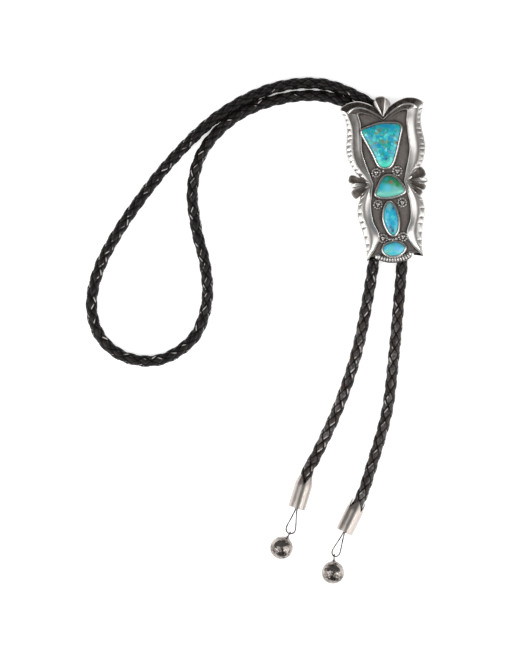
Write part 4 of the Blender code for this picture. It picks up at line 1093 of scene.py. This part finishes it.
class SlideSettings(bpy.types.PropertyGroup):
    """Sizes and colours of the silver."""
    crest_height: bpy.props.FloatProperty(
        name="Crest height", description="Rise of the border's crest over the plate",
        default=2.1 * MM, unit="LENGTH", precision=5)
    flute_depth: bpy.props.FloatProperty(
        name="Flute depth", description="Depth of the stamped flutes in the flange",
        default=0.6 * MM, unit="LENGTH", precision=5)
    lip_bead: bpy.props.FloatProperty(
        name="Lip bead", description="Rise of the thin bead along the inner edge",
        default=0.22 * MM, unit="LENGTH", precision=5)
    bright: bpy.props.FloatVectorProperty(
        name="Rubbed silver", description="Colour of the high parts", subtype="COLOR", size=4,
        default=linear("#dedbd8"))
    patina: bpy.props.FloatVectorProperty(
        name="Patina", description="Colour of the hollows", subtype="COLOR", size=4,
        default=linear("#58504b"))
    polished: bpy.props.FloatVectorProperty(
        name="Polished silver", description="Colour of tips, wire and balls", subtype="COLOR",
        size=4, default=linear("#b9b1ab"))


class CordSettings(bpy.types.PropertyGroup):
    """Colours of the braided cord."""
    leather: bpy.props.FloatVectorProperty(
        name="Leather", description="Colour of the neck loop", subtype="COLOR", size=4,
        default=linear("#0d0a0a"))
    tail_tone: bpy.props.FloatVectorProperty(
        name="Tail leather", description="Colour of the tails", subtype="COLOR", size=4,
        default=linear("#3a2f29"))


class StageSettings(bpy.types.PropertyGroup):
    """Floor and light."""
    left_level: bpy.props.FloatProperty(
        name="Left softbox", description="Brightness of the left softbox, 1 is white",
        default=1.45)
    right_level: bpy.props.FloatProperty(
        name="Right softbox", description="Brightness of the right softbox, 1 is white",
        default=1.5)
    fill_level: bpy.props.FloatProperty(
        name="Overhead fill", description="Brightness of the overhead fill, 1 is white",
        default=1.4)
    strip_level: bpy.props.FloatProperty(
        name="Strip lights", description="Brightness of the two narrow strip lights, 1 is white",
        default=24.0)
    horizon_level: bpy.props.FloatProperty(
        name="Horizon", description="Brightness of the low boxes at both sides, 1 is white",
        default=0.6)
    surround_level: bpy.props.FloatProperty(
        name="Surround", description="Brightness of the dim studio around", default=0.16)
    floor_size: bpy.props.FloatProperty(
        name="Floor", description="Width of the floor", default=12.0, unit="LENGTH")


class BOLO_OT_slide(bpy.types.Operator):
    """Build the silver slide with its fans, bud, settings and buttons"""
    bl_idname = "bolo.slide"
    bl_label = "Silver slide"

    def execute(self, context):
        settings = context.scene.bolo_slide
        silver = old_silver(settings)
        pieces = (
            ("slide_border", [relief_grid(settings)], ["slide_plate"], 50),
            ("side_fans", [fluted_fan(**FAN_SHAPE, **fan) for fan in SIDE_FANS], [], 40),
            ("top_bud", [fluted_fan(**BUD)], [], 40),
            ("stone_settings", [bezel(name) for name in GIRDLES], [], None),
            ("rosette_buttons", [rosette(*row) for row in ROSETTES], [], None),
            ("foot_crescent", crescent(), [], None),
        )
        for name, parts, nodes, sharp in pieces:
            make_piece(name, parts, silver, nodes, sharp)
        return {"FINISHED"}


class BOLO_OT_stones(bpy.types.Operator):
    """Build the four turquoise stones"""
    bl_idname = "bolo.stones"
    bl_label = "Stones"

    def execute(self, context):
        for name, look in STONE_LOOKS.items():
            make_piece("turquoise_" + name, [cabochon(name)], turquoise(look),
                       ["stone_" + name])
        return {"FINISHED"}


class BOLO_OT_cord(bpy.types.Operator):
    """Build the cord's tips, wire loops and balls, and the braided cord"""
    bl_idname = "bolo.cord"
    bl_label = "Cord and ends"

    def execute(self, context):
        settings = context.scene.bolo_slide
        silver = bright_silver("sterling_silver_polished", settings, (0.26, 0.38), 0.04 * MM, 3 * MM)
        dented = bright_silver("sterling_silver_dented", settings, (0.1, 0.26), 0.4 * MM, 1.3 * MM)
        for label, end in CORD_ENDS.items():
            pieces = (
                ("cord_tip_", [tip_part(end)], silver, "tip_", 40),
                ("tip_wire_", wire_parts(end), silver, "wire_loop_", None),
                ("hanging_ball_", ball_parts(end), dented, "ball_", None),
            )
            for name, parts, finish, node, sharp in pieces:
                make_piece(name + label, parts, finish,
                                           [node + label], sharp)
        centre, points, faces, layers = braid(cord_line())
        cord = add_piece("braided_cord", points, faces, layers, turn_outwards,
                         braided_leather(context.scene.bolo_cord), ["cord"])
        return {"FINISHED"}


class BOLO_OT_clip(bpy.types.Operator):
    """Give the back clip its brushed metal"""
    bl_idname = "bolo.clip"
    bl_label = "Back clip"

    def execute(self, context):
        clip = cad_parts["back_clip"]
        metal = clip_metal()
        for slot in clip.material_slots:
            slot.material = metal
        return {"FINISHED"}


class BOLO_OT_stage(bpy.types.Operator):
    """Set up the floor, the lights and the camera"""
    bl_idname = "bolo.stage"
    bl_label = "Stage"

    def execute(self, context):
        settings = context.scene.bolo_stage
        half = settings.floor_size / 2
        corners = [(x * half, y * half, FLOOR_LEVEL) for x, y in ((-1, -1), (1, -1), (1, 1), (-1, 1))]
        mesh = bpy.data.meshes.new("floor")
        mesh.from_pydata(corners, [], [(0, 1, 2, 3)])
        mesh.materials.append(floor_sheet())
        floor = bpy.data.objects.new("floor", mesh)
        context.scene.collection.objects.link(floor)
        target = np.array([*AIM, 0.0])
        # Name, place from the target in metres, size, level, and whether silver mirrors it
        boxes = (
            ("softbox_left", (-0.97, -0.39, 0.93), (1.3, 1.85), settings.left_level, True),
            ("softbox_right", (0.97, -0.65, 0.77), (1.3, 1.6), settings.right_level, True),
            ("strip_left", (-0.85, -0.4, 0.85), (0.9, 0.025), settings.strip_level, True),
            ("strip_right", (0.75, -0.62, 0.9), (0.6, 0.02), settings.strip_level, True),
            ("horizon_left", (-1.45, -0.2, 0.36), (1.6, 0.5), settings.horizon_level, True),
            ("horizon_right", (1.4, -0.4, 0.36), (1.6, 0.5), settings.horizon_level, True),
            ("overhead_fill", (0.0, 0.0, 2.3), (3.6, 3.6), settings.fill_level, False),
        )
        for name, place, size, level, glossy in boxes:
            lamp = bpy.data.lights.new(name, "AREA")
            lamp.shape = "RECTANGLE"
            lamp.size, lamp.size_y = size
            lamp.energy = level * math.pi * size[0] * size[1]
            box = bpy.data.objects.new(name, lamp)
            box.location = target + np.array(place)
            # Turned so that the lamp's face looks at the target
            x, y, z = place
            box.rotation_euler = (math.acos(z / np.linalg.norm(place)), 0.0,
                                  math.atan2(-y, -x) - math.pi / 2)
            box.visible_camera = False
            box.visible_glossy = glossy
            context.scene.collection.objects.link(box)
        world = bpy.data.worlds.new("studio")
        world.use_nodes = True
        back = world.node_tree.nodes["Background"]
        back.inputs["Color"].default_value = linear("#ffffff")
        back.inputs["Strength"].default_value = settings.surround_level
        context.scene.world = world
        context.scene.view_settings.view_transform = "Standard"
        camera = bpy.data.cameras.new("camera")
        camera.sensor_width = SENSOR_WIDTH
        camera.lens = SENSOR_WIDTH * CAMERA_DISTANCE / VIEW_HEIGHT
        camera.clip_end = 50.0
        eye = bpy.data.objects.new("camera", camera)
        eye.location = (*AIM, CAMERA_DISTANCE)
        eye.rotation_euler = (0.0, 0.0, -math.radians(TILT_DEGREES))
        context.scene.collection.objects.link(eye)
        context.scene.camera = eye
        return {"FINISHED"}


OPERATORS = (BOLO_OT_stage, BOLO_OT_cord, BOLO_OT_slide, BOLO_OT_stones, BOLO_OT_clip)


class BOLO_PT_panel(bpy.types.Panel):
    """Lists the pieces of the bolo tie"""
    bl_idname = "BOLO_PT_panel"
    bl_label = "Bolo tie"
    bl_space_type = "VIEW_3D"
    bl_region_type = "UI"
    bl_category = "Bolo tie"

    def draw(self, context):
        for group in (context.scene.bolo_slide, context.scene.bolo_cord, context.scene.bolo_stage):
            box = self.layout.box()
            for name in group.__annotations__:
                box.prop(group, name)
        for operator in OPERATORS:
            self.layout.operator(operator.bl_idname)


CLASSES = (SlideSettings, CordSettings, StageSettings, *OPERATORS, BOLO_PT_panel)


def register():
    """Registers the classes and hangs the settings on the scene."""
    for kind in CLASSES:
        bpy.utils.register_class(kind)
    bpy.types.Scene.bolo_slide = bpy.props.PointerProperty(type=SlideSettings)
    bpy.types.Scene.bolo_cord = bpy.props.PointerProperty(type=CordSettings)
    bpy.types.Scene.bolo_stage = bpy.props.PointerProperty(type=StageSettings)


def unregister():
    """Takes the settings and the classes away again."""
    del bpy.types.Scene.bolo_slide, bpy.types.Scene.bolo_cord, bpy.types.Scene.bolo_stage
    for kind in reversed(CLASSES):
        bpy.utils.unregister_class(kind)


def main():
    """Registers the classes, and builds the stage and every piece."""
    register()
    bpy.ops.bolo.stage()
    bpy.ops.bolo.cord()
    bpy.ops.bolo.slide()
    bpy.ops.bolo.stones()
    bpy.ops.bolo.clip()


if __name__ == "__main__":
    main()
